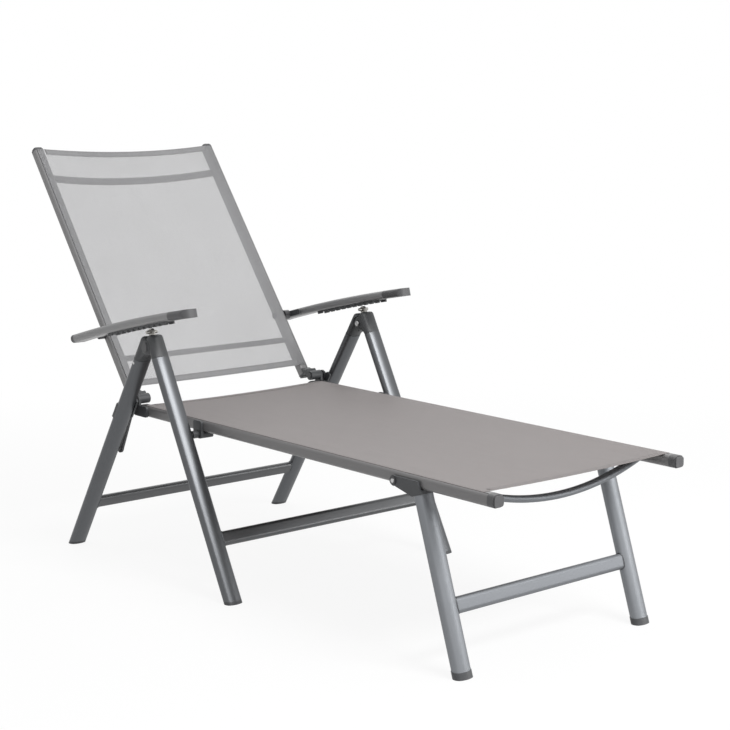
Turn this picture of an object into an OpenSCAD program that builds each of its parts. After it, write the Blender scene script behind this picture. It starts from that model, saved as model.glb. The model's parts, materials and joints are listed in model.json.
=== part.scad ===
// Folding sun lounger: two A-frames, hinged foot legs, a seat and a reclining back, both with slings.
// X runs across, Y from the foot end to the head end, Z up. Lengths are in millimetres.

/* [Seat] */
// Distance between the middles of the two seat rails
rail_spacing = 528; // [500:1:560]
// Height of the seat rails' top above the floor
seat_height = 383; // [375:1:395]
// Distance from the middle of the foot caps back to the backrest's hinge
seat_length = 1205; // [1190:1:1230]
// Width of a seat or back rail, side to side
rail_width = 28; // [26:1:30]
// Depth of a seat rail, top to bottom
rail_depth = 26; // [25:1:28]
// Radius of the rails' corners
rail_corner = 8; // [6:0.5:9]
// Wall of every tube
tube_wall = 1.6; // [1.2:0.1:2]
// Length of the cap on a rail's foot end
rail_cap_length = 20; // [16:1:24]
// Length of the nose cap on a rail's rear end
nose_length = 24; // [20:1:28]
// How far the nose cap ends behind the backrest's hinge
nose_reach = 14; // [12:1:15]
// Distance from the middle of the foot caps to the bowed bar
foot_bar_setback = 86; // [70:1:100]
// How far the bowed bar hangs below its ends
foot_bar_sag = 46; // [30:1:55]
// Distance from the backrest's hinge forward to the seat's rear bar
seat_bar_setback = 45; // [40:1:60]
// Depth of the seat's rear bar below the rails' top, at its middle line
seat_bar_drop = 17; // [16.5:0.1:18]

/* [Frame legs] */
// Width of a leg tube, side to side
leg_width = 44; // [40:1:48]
// Depth of a leg tube, front to back
leg_depth = 26; // [24:1:28]
// Radius of a leg tube's narrow sides
leg_corner = 11; // [9:0.5:11]
// Space between a seat rail and the frame legs beside it
side_gap = 22; // [20:0.5:26]
// Distance from the backrest's hinge forward to the frame's pivot
frame_pivot_setback = 256; // [250:1:262]
// Distance of the frame's pivot below the seat rails
frame_pivot_drop = 6; // [5.5:0.5:8]
// Lean of the front legs from upright, in degrees
front_lean = 27.9; // [26:0.1:29]
// Lean of the rear legs from upright, in degrees
rear_lean = 32.3; // [31:0.1:33.5]
// Distance from the frame's pivot up to the knuckle
knuckle_rise = 227; // [222:1:232]
// Distance of the knuckle's axis from the front legs' middle line
knuckle_front_offset = 16.6; // [16:0.1:18]
// Distance of the knuckle's axis from the rear legs' middle line
knuckle_rear_offset = 19.2; // [18.5:0.1:20.5]
// Distance from the frame's pivot down to the front crossbar
front_bar_drop = 250; // [240:1:252]
// Distance from the knuckle down to the rear crossbar
rear_bar_drop = 517; // [516:1:530]
// Distance from the knuckle down to the links' lower rivets
link_drop = 339; // [337:1:341]
// Height of a crossbar's section
crossbar_height = 34; // [30:1:36]
// Thickness of a crossbar's section
crossbar_thickness = 18; // [15:0.5:20]

/* [Foot legs] */
// Distance from the middle of the foot caps to the foot legs' pivot
foot_pivot_setback = 268; // [255:1:280]
// Depth of the foot legs' pivot below the seat rails' top
foot_pivot_depth = 19; // [16:1:20]
// Distance of the foot legs' middle line in front of their pivot
foot_leg_offset = 58.5; // [55:0.5:62]
// Lean of the foot legs from upright, in degrees
foot_leg_lean = 18.6; // [16:0.1:20]
// Height of the foot legs' crossbar above the floor
foot_bar_height = 131; // [110:1:160]

/* [Backrest] */
// Angle of the backrest above level, in degrees
back_angle = 53.2; // [50:0.1:56]
// Distance from the hinge to the top of the backrest, along it
back_length = 755; // [720:1:800]
// Depth of a back rail, front to back
back_depth = 24; // [22:1:26]
// Distance of the back rails' middle line behind the hinge
back_offset = 33; // [31:0.5:35]
// Height of the backrest's hinge above the seat rails
hinge_rise = 13.5; // [13:0.5:15]
// Distance from the hinge to the lumbar bar, along the backrest
lumbar_rise = 130; // [110:1:150]
// Distance from the backrest's top down to the head bar, along it
head_bar_drop = 88; // [75:1:110]
// How far the head bar bows to the rear
head_bar_bow = 26; // [15:1:32]

/* [Armrests] */
// Length of an armrest, end to end
arm_length = 507; // [490:1:530]
// Width of an armrest
arm_width = 46; // [42:1:50]
// Thickness of an armrest
arm_thickness = 20; // [18:1:22]
// Rise of an armrest's arch over its ends
arm_arch = 6; // [4:1:10]
// Lean of an armrest's ends from level, in degrees, tip up
arm_lean = 12.8; // [12:0.1:13.5]
// Length of an armrest behind its pivot
arm_tail = 49; // [42:1:55]
// Distance from the backrest's hinge to the armrests' pivot, along the backrest
arm_pivot_rise = 203; // [201:0.5:205]
// Distance from the frame's pivot up to the pin that the armrests rest on
post_rise = 259.2; // [256:0.1:259.5]

/* [Slings] */
// Thickness of the woven slings
sling_thickness = 1.2; // [0.8:0.1:1.6]
// Sag of the seat sling across its middle
seat_sling_sag = 6; // [0:1:12]
// Sag of the back sling across its middle
back_sling_sag = 5; // [0:1:12]
// Distance from the middle of the foot caps to the seat sling's front edge
seat_sling_front = 24; // [15:1:40]
// Drop of the back sling's top edge between its corners
back_sling_dip = 12; // [6:1:20]

/* [Fits] */
// Radial clearance of a turning pin in its bore
pin_clearance = 0.1; // [0.05:0.01:0.1]
// Space between parts that pass each other
pass_gap = 0.5; // [0.3:0.1:0.6]
// Clearance of a plug inside its tube
plug_clearance = 0.3; // [0.2:0.05:0.4]

/* [Hidden] */
$fn = 48;

// Sizes that follow from the ones above
overrun = 5;
reach = 2 * seat_length;
rail_x = rail_spacing / 2;
rail_inner_x = rail_x - rail_width / 2;
rail_outer_x = rail_x + rail_width / 2;
leg_inner_x = rail_outer_x + side_gap;
leg_x = leg_inner_x + leg_width / 2;
leg_outer_x = leg_inner_x + leg_width;
leg_side_x = leg_width / 2 - leg_corner;
leg_side_z = leg_depth / 2 - leg_corner;
leg_crown_drop = (leg_side_x * leg_side_x - leg_side_z * leg_side_z) / (2 * leg_side_z);
rail_axis_z = seat_height - rail_depth / 2;
rail_bottom_z = seat_height - rail_depth;
hinge_y = seat_length;
hinge_z = seat_height + hinge_rise;
frame_y = hinge_y - frame_pivot_setback;
frame_z = rail_bottom_z - frame_pivot_drop;
knuckle_y = frame_y + knuckle_rise * sin(front_lean) + knuckle_front_offset * cos(front_lean);
knuckle_z = frame_z + knuckle_rise * cos(front_lean) - knuckle_front_offset * sin(front_lean);
foot_pivot_z = seat_height - foot_pivot_depth;
nose_end_y = hinge_y + nose_reach;
rail_tube_end_y = nose_end_y - nose_length;

// Groove that holds a sling's edge bead
groove_inset = 6;
groove_depth = 5;
groove_radius = 2.6;
groove_slot = 2.2;
bead_radius = groove_radius - plug_clearance;
cavity_corner = 4;
cavity_height_share = 0.5;
sling_steps = 12;

// Caps and feet
plug_length = 18;
foot_plug_height = 7;
foot_cap_height = 14;
foot_cap_wall = 2;
nose_radius = 20.8;
cap_lip = 4;
back_top_y = hinge_y + back_length * cos(back_angle)
    + (back_offset + back_depth / 2 - cap_lip / 2) * sin(back_angle);
mid_y = (back_top_y - rail_cap_length / 2) / 2;

// Frame pivot: block under the rail, boss beside it, bolt through both
bracket_length = 32;
bracket_wall = 6;
boss_radius = 9;
pivot_bolt_radius = 4;
bolt_head_radius = 7;
bolt_head_height = 3;
bolt_grip = 6;

// Backrest hinge: plate on the rail, bolt, link and collars
hinge_plate_thickness = 6;
hinge_plate_length = 56;
hinge_plate_corner = 6;
hinge_bolt_radius = 5;
elbow_radius = 12;
link_thickness = 5;
link_width = 22;
link_gap = 5;
link_inner_x = leg_inner_x - link_gap - link_thickness;
collar_radius = 7.5;
rivet_radius = 4;
rivet_head_radius = 8;
rivet_head_height = 3;

// Knuckle: two half-width discs about one bolt
disc_radius = 18;
knuckle_bolt_radius = 5;
front_neck_start = 191;
rear_neck_start = 50;
gusset_share = 0.7;
gusset_reach = 4.5;
neck_dome_rise = 23;
neck_margin = 1.5;
neck_side_radius = 14;
neck_front_radius = 18;
disc_edge = 5;
disc_inset = 0.8;
gusset_inset = 4;
post_width = 16;
post_thickness = 8;
post_offset = 3.7;
post_pocket = 16;
post_pin_radius = 4;
post_pin_length = 28;
cover_width = 20;
cover_height = 27;
cover_thickness = 2.5;
cover_wall = 2;

// Rest bracket on the rear leg, beside the hinge bolt
rest_plate_thickness = link_gap - pass_gap;
rest_plate_overlap = 8;
rest_length = 54;
rest_lead = 16;
rest_corner = 5;
rest_wall = 3.5;

// Foot leg bracket
bracket_plate = 5;
lobe_radius = 11;
foot_leg_top_drop = 39.7;
foot_bracket_front_rise = 14;
side_play = 1;

// Backrest details
elbow_flange = 4;
elbow_step = 16;
elbow_web = 34;
back_sling_start = 44;
socket_corner = 1;
top_cap_length = 8;
arm_bolt_radius = 3.5;
arm_collar_radius = 12.5;
lumbar_depth = 16;
lumbar_height = 14;
bow_bar_height = 20;
bow_bar_depth = 14;
seat_bar_depth = 24;
seat_bar_height = 15;
back_bar_drop = 4.5;

// Armrest details
arm_radius = arm_length * arm_length / (8 * arm_arch);
arm_tangent = arm_lean + asin((arm_length / 2 - arm_tail) / arm_radius);
arm_corner = 9;
arm_front_cap_length = 70;
arm_rear_cap_length = 12;
arm_dish_depth = 2;
rack_depth = 7;
rack_wall = 4;
rack_front = 363;
rack_rear = 110;
rack_end_share = 0.5;
rack_floor = 2;
rack_tooth_pitch = 23;
rack_notch_radius = 4.5;
hinge_block_length = 60;
hinge_block_height = 15;
arm_pivot_y = hinge_y + arm_pivot_rise * cos(back_angle) + back_offset * sin(back_angle);
arm_pivot_z = hinge_z + arm_pivot_rise * sin(back_angle) - back_offset * cos(back_angle);
arm_inner_x = leg_x - arm_width / 2;

// Helpers

module centred() translate([0, -mid_y, 0]) children();

module on_side(side) mirror([side < 0 ? 1 : 0, 0, 0]) children();

module both_sides() {
    children();
    mirror([1, 0, 0]) children();
}

// Flat outline with round corners, centred
module rounded(width, height, corner) {
    square([width - 2 * corner, height], center = true);
    square([width, height - 2 * corner], center = true);
    for (x = [-1, 1], y = [-1, 1])
        translate([x * (width / 2 - corner), y * (height / 2 - corner)]) circle(r = corner);
}

module stadium(width, height) {
    end = min(width, height) / 2;
    along = max(width, height) / 2 - end;
    rotate(width > height ? 0 : 90) {
        square([2 * along, 2 * end], center = true);
        for (x = [-along, along]) translate([x, 0]) circle(r = end);
    }
}

// Runs an outline in X and Z along Y
module run(from, length)
    translate([0, from + length, 0]) rotate([90, 0, 0]) linear_extrude(length) children();

// Extrudes a side view, drawn in Y and Z, across X
module slab(from_x, width)
    translate([from_x, 0, 0]) rotate([90, 0, 90]) linear_extrude(width) children();

module pin(radius, from_x, to_x)
    translate([from_x, 0, 0]) rotate([0, 90, 0]) cylinder(r = radius, h = to_x - from_x);

// Everything below a height above the floor
module below(height)
    translate([-reach, -reach, height - reach]) cube([2 * reach, 2 * reach, reach]);

// Side frames of the moving groups: Y runs along the piece from its pivot
module frame_side() translate([0, frame_y, frame_z]) rotate([90 - front_lean, 0, 0]) children();

module knuckle_side() translate([0, knuckle_y, knuckle_z]) rotate([rear_lean - 90, 0, 0]) children();

module foot_side()
    translate([0, foot_pivot_setback, foot_pivot_z]) rotate([-90 - foot_leg_lean, 0, 0]) children();

module back_side() translate([0, hinge_y, hinge_z]) rotate([back_angle, 0, 0]) children();

module arm_side() translate([0, arm_pivot_y, arm_pivot_z]) rotate([-arm_tangent, 0, 0]) children();

// Rail section: groove for the sling's bead near the top outer edge, cavity below
module rail_outline(depth) {
    difference() {
        rounded(rail_width, depth, rail_corner);
        translate([rail_width / 2 - groove_inset, depth / 2 - groove_depth]) {
            circle(r = groove_radius);
            translate([-groove_slot / 2, 0]) square([groove_slot, groove_depth + overrun]);
        }
        cavity_outline(depth, 0);
    }
}

module cavity_outline(depth, clearance) {
    cavity_height = depth * cavity_height_share;
    translate([0, tube_wall + cavity_height / 2 - depth / 2])
        rounded(rail_width - 2 * tube_wall - 2 * clearance, cavity_height - 2 * clearance, cavity_corner);
}

// Oval section of the legs: two round sides that run smoothly into two shallow crowns
module leg_outline(inset) {
    crown = leg_depth / 2 + leg_crown_drop - inset;
    side = leg_corner - inset;
    seam_x = leg_side_x * crown / (crown - side);
    intersection() {
        translate([0, -leg_crown_drop]) circle(r = crown);
        translate([0, leg_crown_drop]) circle(r = crown);
        square([2 * seam_x, leg_width], center = true);
    }
    for (x = [-leg_side_x, leg_side_x]) translate([x, 0]) circle(r = side);
}

module leg_tube(from, length) {
    difference() {
        run(from, length) leg_outline(0);
        run(from - overrun, length + 2 * overrun) leg_cavity(0);
    }
}

module leg_cavity(clearance) leg_outline(tube_wall + clearance);

// Upper end of a leg's knuckle, round from the side and from the front
module neck(from, top) {
    length = top - from;
    intersection() {
        run(from, length) leg_outline(0);
        slab(-leg_width, 2 * leg_width) translate([from, 0])
            rounded(2 * length, leg_depth + 2 * neck_margin, neck_side_radius);
        translate([0, from, -leg_depth]) linear_extrude(2 * leg_depth)
            rounded(leg_width + 2 * neck_margin, 2 * length, neck_front_radius);
    }
}

// Disc about X with a rounded outer rim, its back at a distance from the middle
module knuckle_disc(from_x, thickness) translate([from_x, 0, 0]) rotate([0, 90, 0])
    rotate_extrude() intersection() {
        rounded(2 * disc_radius, 2 * thickness, disc_edge);
        square([disc_radius, thickness]);
    }

// Crossbar along X, its ends coped to the round sides of the legs
module crossbar(half_length) {
    difference() {
        slab(-half_length, 2 * half_length) stadium_tube(crossbar_height, crossbar_thickness);
        both_sides() translate([half_length + leg_width / 2 - leg_corner, 0, 0])
            run(-crossbar_height, 2 * crossbar_height) leg_outline(0);
    }
}

module stadium_tube(width, height) {
    difference() {
        stadium(width, height);
        stadium(width - 2 * tube_wall, height - 2 * tube_wall);
    }
}

// Bar that hangs in an arc between the rails, at a distance along Y
module bow_bar(along, end_z, sag) {
    half = rail_inner_x;
    radius = (half * half + sag * sag) / (2 * sag);
    angle = asin(half / radius) + atan(rail_width / radius);
    intersection() {
        translate([0, along, end_z + radius - sag]) rotate([90, 0, 0]) rotate([0, 0, -90 - angle])
            rotate_extrude(angle = 2 * angle, $fn = 96) translate([radius, 0])
                stadium_tube(bow_bar_depth, bow_bar_height);
        translate([-half, along - reach / 2, end_z - reach / 2]) cube([2 * half, reach, reach]);
    }
}

// Sling section: sags between the rails as a parabola, flat over them, beads in their grooves
module sling_outline(sag) {
    edge_x = rail_outer_x - groove_inset;
    rim_x = edge_x + sling_thickness / 2;
    dip = [
        for (step = [-sling_steps : sling_steps])
            let (share = step / sling_steps) [rail_inner_x * share, sag * (share * share - 1)]
    ];
    under = concat([[-rim_x, 0]], dip, [[rim_x, 0]]);
    over = [for (i = [len(under) - 1 : -1 : 0]) under[i] + [0, sling_thickness]];
    polygon(concat(under, over));
    for (side = [-1, 1]) mirror([side < 0 ? 1 : 0, 0]) {
        translate([edge_x - sling_thickness / 2, -groove_depth])
            square([sling_thickness, groove_depth + sling_thickness / 2]);
        translate([edge_x, -groove_depth]) circle(r = bead_radius);
    }
}

// Seat

module seat_rail(side) {
    color([0.42, 0.42, 0.43]) centred() on_side(side) translate([rail_x, 0, rail_axis_z])
        difference() {
            run(rail_cap_length / 2, rail_tube_end_y - rail_cap_length / 2) rail_outline(rail_depth);
            translate([0, foot_pivot_setback, rail_depth / 2 - foot_pivot_depth])
                pin(rivet_radius + pin_clearance, -rail_width, rail_width);
        }
}

module seat_rail_left() seat_rail(1);
module seat_rail_right() seat_rail(-1);

module rail_foot_caps() {
    front = -rail_cap_length / 2;
    color([0.2, 0.2, 0.21]) centred() both_sides() translate([rail_x, 0, rail_axis_z]) {
        run(front + cap_lip, rail_cap_length - cap_lip) rounded(rail_width, rail_depth, rail_corner);
        run(front, cap_lip) rounded(rail_width - cap_lip, rail_depth - cap_lip, rail_corner - cap_lip / 2);
        run(0, rail_cap_length / 2 + plug_length) cavity_outline(rail_depth, plug_clearance);
    }
}

// The nose's underside curves up, clear of the folded rear crossbar
module rail_nose_caps() {
    color([0.16, 0.16, 0.17]) centred() both_sides() {
        intersection() {
            translate([rail_x, 0, rail_axis_z]) run(rail_tube_end_y, nose_length)
                rounded(rail_width, rail_depth, rail_corner);
            slab(rail_inner_x, rail_width) union() {
                translate([nose_end_y - nose_radius, seat_height - nose_radius]) circle(r = nose_radius);
                translate([rail_tube_end_y - nose_length, rail_bottom_z])
                    square([2 * nose_length - nose_radius, rail_depth]);
            }
        }
        translate([rail_x, 0, rail_axis_z]) run(rail_tube_end_y - plug_length, plug_length + overrun)
            cavity_outline(rail_depth, plug_clearance);
    }
}

module foot_bow_bar() {
    color([0.5, 0.5, 0.51]) centred() bow_bar(foot_bar_setback, rail_axis_z, foot_bar_sag);
}

module seat_rear_bar() {
    color([0.5, 0.5, 0.51]) centred() translate([0, hinge_y - seat_bar_setback, seat_height - seat_bar_drop])
        slab(-rail_inner_x, 2 * rail_inner_x) stadium_tube(seat_bar_depth, seat_bar_height);
}

module seat_sling() {
    rear = hinge_y - elbow_radius - 2 * overrun;
    color([0.56, 0.54, 0.53]) centred() translate([0, 0, seat_height])
        run(seat_sling_front, rear - seat_sling_front) sling_outline(seat_sling_sag);
}

// Block under the rail with a boss that carries the frame's pivot bolt
module frame_bracket(side) {
    block_height = frame_pivot_drop + boss_radius;
    color([0.15, 0.15, 0.16]) centred() on_side(side) translate([0, frame_y, frame_z])
        difference() {
            union() {
                slab(rail_inner_x, rail_width) translate([0, frame_pivot_drop - block_height / 2])
                    rounded(bracket_length, block_height, bracket_wall);
                pin(boss_radius, rail_outer_x, leg_inner_x - pass_gap);
                slab(rail_outer_x, bracket_wall)
                    translate([0, frame_pivot_drop - block_height + (rail_depth + block_height) / 2])
                        rounded(bracket_length, rail_depth + block_height, bracket_wall);
            }
            pin(pivot_bolt_radius + pin_clearance, rail_inner_x - overrun, leg_inner_x);
        }
}

module frame_bracket_left() frame_bracket(1);
module frame_bracket_right() frame_bracket(-1);

// Plate on the rail's outer side that carries the backrest's hinge bolt
module hinge_plate(side) {
    color([0.15, 0.15, 0.16]) centred() on_side(side) translate([0, hinge_y, hinge_z])
        difference() {
            slab(rail_outer_x, hinge_plate_thickness) {
                circle(r = elbow_radius);
                translate([-elbow_radius, -hinge_rise - rail_depth + hinge_plate_corner])
                    square([2 * elbow_radius, hinge_rise + rail_depth - hinge_plate_corner]);
                translate([elbow_radius - hinge_plate_length / 2, -hinge_rise - rail_depth / 2])
                    rounded(hinge_plate_length, rail_depth, hinge_plate_corner);
            }
            pin(hinge_bolt_radius + pin_clearance, rail_inner_x, leg_inner_x);
        }
}

module hinge_plate_left() hinge_plate(1);
module hinge_plate_right() hinge_plate(-1);

// Front legs

module front_leg(side) {
    below_pivot = frame_z / cos(front_lean) + leg_depth;
    color([0.6, 0.62, 0.64]) centred() on_side(side) difference() {
        frame_side() translate([leg_x, 0, 0]) leg_tube(-below_pivot, below_pivot + front_neck_start);
        below(foot_plug_height);
        frame_side() pin(pivot_bolt_radius, leg_inner_x - overrun, leg_x);
    }
}

module front_leg_left() front_leg(1);
module front_leg_right() front_leg(-1);

module front_crossbar() {
    color([0.4, 0.4, 0.41]) centred() frame_side() translate([0, -front_bar_drop, 0])
        crossbar(leg_inner_x + leg_corner);
}

// Front half of the knuckle: neck on the leg, disc on the inner half, pocket for the post
module front_knuckle(side) {
    dome_top = knuckle_rise + neck_dome_rise;
    color([0.13, 0.14, 0.15]) centred() on_side(side) frame_side() {
        difference() {
            union() {
                translate([leg_x, 0, 0]) neck(front_neck_start, dome_top);
                translate([0, knuckle_rise, -knuckle_front_offset]) mirror([1, 0, 0])
                    knuckle_disc(pass_gap / 2 - leg_x, leg_width / 2 - pass_gap / 2 - disc_inset);
                slab(leg_inner_x + gusset_inset, leg_width / 2 - pass_gap / 2 - gusset_inset) polygon([
                    [front_neck_start + gusset_inset, -leg_depth / 2 + gusset_inset],
                    [knuckle_rise - disc_radius * gusset_share, -knuckle_front_offset - gusset_reach],
                    [knuckle_rise + disc_radius * gusset_share, -knuckle_front_offset - gusset_reach],
                    [dome_top - 2 * gusset_inset, 0],
                    [front_neck_start + gusset_inset, 0]
                ]);
            }
            translate([0, knuckle_rise, -knuckle_front_offset]) {
                pin(disc_radius + pass_gap, leg_x - pass_gap / 2, leg_outer_x + overrun);
                pin(knuckle_bolt_radius + pin_clearance, leg_inner_x - overrun, leg_outer_x);
            }
            post_blank(dome_top - post_pocket, post_pocket + overrun);
        }
        translate([leg_x, 0, 0]) run(front_neck_start - plug_length, plug_length) leg_cavity(plug_clearance);
    }
}

module front_knuckle_left() front_knuckle(1);
module front_knuckle_right() front_knuckle(-1);

// Flat bar of the armrest post, along the leg
module post_blank(from, length)
    slab(leg_x - post_thickness / 2, post_thickness) translate([from, -post_offset - post_width / 2])
        square([length, post_width]);

module armrest_post(side) {
    from = knuckle_rise + neck_dome_rise - post_pocket;
    color([0.75, 0.74, 0.68]) centred() on_side(side) frame_side() {
        difference() {
            union() {
                post_blank(from, post_rise - from);
                translate([0, post_rise, -post_offset])
                    pin(post_width / 2, leg_x - post_thickness / 2, leg_x + post_thickness / 2);
            }
            translate([0, knuckle_rise, -knuckle_front_offset])
                pin(disc_radius + pass_gap, leg_x - pass_gap / 2, leg_outer_x);
        }
        translate([0, post_rise, -post_offset])
            pin(post_pin_radius, leg_x - post_pin_length / 2, leg_x + post_pin_length / 2);
    }
}

module armrest_post_left() armrest_post(1);
module armrest_post_right() armrest_post(-1);

// Flat plugs in the legs' slanted feet, level with the floor
module front_foot_plugs() {
    span = frame_z / cos(front_lean);
    color([0.12, 0.12, 0.12]) centred() both_sides() {
        difference() {
            intersection() {
                frame_side() translate([leg_x, 0, 0]) run(-span - leg_depth, 2 * leg_depth)
                    leg_outline(0);
                below(foot_plug_height);
            }
            below(0);
        }
        difference() {
            frame_side() translate([leg_x, 0, 0]) run(-span, 2 * plug_length) leg_cavity(plug_clearance);
            below(foot_plug_height);
        }
    }
}

module frame_pivot_bolts() {
    color([0.8, 0.8, 0.8]) centred() both_sides() frame_side() {
        pin(bolt_head_radius, rail_inner_x - bolt_head_height - pass_gap, rail_inner_x - pass_gap);
        pin(pivot_bolt_radius, rail_inner_x - pass_gap, leg_inner_x + bolt_grip);
    }
}

// Rear legs

module rear_leg(side) {
    length = (knuckle_z + knuckle_rear_offset * sin(rear_lean)) / cos(rear_lean) + leg_depth;
    color([0.32, 0.33, 0.34]) centred() on_side(side) difference() {
        knuckle_side() translate([leg_x, 0, knuckle_rear_offset])
            leg_tube(rear_neck_start, length - rear_neck_start);
        below(foot_plug_height);
    }
}

module rear_leg_left() rear_leg(1);
module rear_leg_right() rear_leg(-1);

module rear_crossbar() {
    color([0.4, 0.4, 0.41]) centred() knuckle_side()
        translate([0, rear_bar_drop, knuckle_rear_offset]) crossbar(leg_inner_x + leg_corner);
}

// Rear half of the knuckle: neck on the leg, disc on the outer half
module rear_knuckle(side) {
    color([0.13, 0.14, 0.15]) centred() on_side(side) knuckle_side() {
        difference() {
            union() {
                translate([leg_x, 0, knuckle_rear_offset]) mirror([0, 1, 0])
                    neck(-rear_neck_start, leg_depth / 2);
                knuckle_disc(leg_x + pass_gap / 2, leg_width / 2 - pass_gap / 2 - disc_inset);
                slab(leg_x + pass_gap / 2, leg_width / 2 - pass_gap / 2 - gusset_inset) polygon([
                    [disc_radius * gusset_share, -gusset_reach],
                    [rear_neck_start - gusset_inset, knuckle_rear_offset - leg_depth / 2 + gusset_inset],
                    [rear_neck_start - gusset_inset, knuckle_rear_offset],
                    [0, knuckle_rear_offset]
                ]);
            }
            pin(disc_radius + pass_gap, leg_inner_x - overrun, leg_x + pass_gap / 2);
            pin(knuckle_bolt_radius, leg_x, leg_outer_x - tube_wall);
        }
        translate([leg_x, 0, knuckle_rear_offset])
            run(rear_neck_start, plug_length) leg_cavity(plug_clearance);
    }
}

module rear_knuckle_left() rear_knuckle(1);
module rear_knuckle_right() rear_knuckle(-1);

// Raised oval covers on the knuckles' outer sides
module knuckle_covers() {
    color([0.35, 0.36, 0.37]) centred() both_sides() knuckle_side() rotate([90 - rear_lean, 0, 0])
        translate([leg_outer_x - disc_inset, 0, 0]) {
            slab(0, cover_thickness - tube_wall) stadium(cover_width, cover_height);
            slab(0, cover_thickness) stadium(cover_width - 2 * cover_wall, cover_height - 2 * cover_wall);
        }
}

module knuckle_bolts() {
    color([0.8, 0.8, 0.8]) centred() both_sides() knuckle_side() {
        pin(bolt_head_radius, leg_inner_x - bolt_head_height, leg_inner_x);
        pin(knuckle_bolt_radius, leg_inner_x - bolt_head_height, leg_outer_x - tube_wall);
    }
}

module rear_foot_plugs() {
    span = (knuckle_z + knuckle_rear_offset * sin(rear_lean)) / cos(rear_lean);
    color([0.12, 0.12, 0.12]) centred() both_sides() {
        difference() {
            intersection() {
                knuckle_side() translate([leg_x, 0, knuckle_rear_offset]) run(span - leg_depth, 2 * leg_depth)
                    leg_outline(0);
                below(foot_plug_height);
            }
            below(0);
        }
        difference() {
            knuckle_side() translate([leg_x, 0, knuckle_rear_offset])
                run(span - 2 * plug_length, 2 * plug_length) leg_cavity(plug_clearance);
            below(foot_plug_height);
        }
    }
}

// Bracket behind the leg, with a plate inside it whose edge the hinge bolt's end rests on
module rest_bracket(side) {
    bolt_y = hinge_y - knuckle_y;
    bolt_z = hinge_z - knuckle_z;
    along = bolt_y * sin(rear_lean) - bolt_z * cos(rear_lean);
    beside = bolt_y * cos(rear_lean) + bolt_z * sin(rear_lean) - collar_radius - pass_gap;
    plate_depth = beside - knuckle_rear_offset + rest_plate_overlap;
    color([0.14, 0.14, 0.15]) centred() on_side(side) knuckle_side() {
        slab(leg_inner_x - rest_plate_thickness, rest_plate_thickness)
            translate([along + rest_length / 2 - rest_lead, beside - plate_depth / 2])
                rounded(rest_length, plate_depth, rest_corner);
        translate([leg_x, 0, knuckle_rear_offset]) run(along, rest_length - rest_lead) intersection() {
            difference() {
                leg_outline(-rest_wall);
                leg_outline(0);
            }
            translate([-leg_width / 2, 0]) square([leg_width, leg_depth]);
        }
    }
}

module rest_bracket_left() rest_bracket(1);
module rest_bracket_right() rest_bracket(-1);

// Links from the backrest's hinge to the rear legs

module link(side) {
    rivet_y = knuckle_y + link_drop * sin(rear_lean) + knuckle_rear_offset * cos(rear_lean) - hinge_y;
    rivet_z = knuckle_z - link_drop * cos(rear_lean) + knuckle_rear_offset * sin(rear_lean) - hinge_z;
    length = sqrt(rivet_y * rivet_y + rivet_z * rivet_z);
    color([0.2, 0.2, 0.21]) centred() on_side(side) translate([0, hinge_y, hinge_z])
        rotate([atan2(rivet_z, rivet_y), 0, 0]) difference() {
            slab(link_inner_x, link_thickness) translate([length / 2, 0])
                stadium(length + link_width, link_width);
            pin(hinge_bolt_radius + pin_clearance, 0, leg_x);
            translate([0, length, 0]) pin(rivet_radius, 0, leg_x);
        }
}

module link_left() link(1);
module link_right() link(-1);

// The rivet's end stops short of the leg that it turns on
module link_rivets() {
    color([0.75, 0.75, 0.75]) centred() both_sides() knuckle_side()
        translate([0, link_drop, knuckle_rear_offset]) {
            pin(rivet_head_radius, link_inner_x - rivet_head_height, link_inner_x);
            pin(rivet_radius, link_inner_x - rivet_head_height, leg_inner_x - pass_gap);
        }
}

// Foot legs

module foot_leg(side) {
    span = (foot_pivot_z + foot_leg_offset * sin(foot_leg_lean)) / cos(foot_leg_lean);
    color([0.55, 0.57, 0.59]) centred() on_side(side) difference() {
        foot_side() translate([rail_x, 0, -foot_leg_offset])
            leg_tube(foot_leg_top_drop, span + leg_depth - foot_leg_top_drop);
        below(foot_cap_height);
    }
}

module foot_leg_left() foot_leg(1);
module foot_leg_right() foot_leg(-1);

module foot_crossbar() {
    drop = (foot_pivot_z + foot_leg_offset * sin(foot_leg_lean) - foot_bar_height) / cos(foot_leg_lean);
    color([0.55, 0.57, 0.59]) centred() foot_side() translate([0, drop, -foot_leg_offset])
        crossbar(rail_x - leg_width / 2 + leg_corner);
}

// Saddle on the leg's top with a plate on each side of the rail, round at the pivot
module foot_bracket(side) {
    plate_inner = rail_width / 2 + side_play;
    width = 2 * (plate_inner + bracket_plate);
    top = -foot_leg_offset;
    half = leg_depth / 2;
    color([0.15, 0.15, 0.16]) centred() on_side(side) {
        foot_side() difference() {
            for (from_x = [rail_x - width / 2, rail_x + plate_inner])
                slab(from_x, bracket_plate) foot_bracket_outline();
            pin(rivet_radius, 0, leg_outer_x);
        }
        difference() {
            foot_side() slab(rail_x - width / 2 + side_play, width - 2 * side_play)
                translate([lobe_radius, top - half + side_play])
                    square([foot_leg_top_drop - lobe_radius, leg_depth - 2 * side_play]);
            translate([0, 0, rail_bottom_z - pass_gap]) cube([reach, reach, reach]);
        }
        foot_side() translate([rail_x, 0, top])
            run(foot_leg_top_drop, plug_length) leg_cavity(plug_clearance);
    }
}

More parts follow.
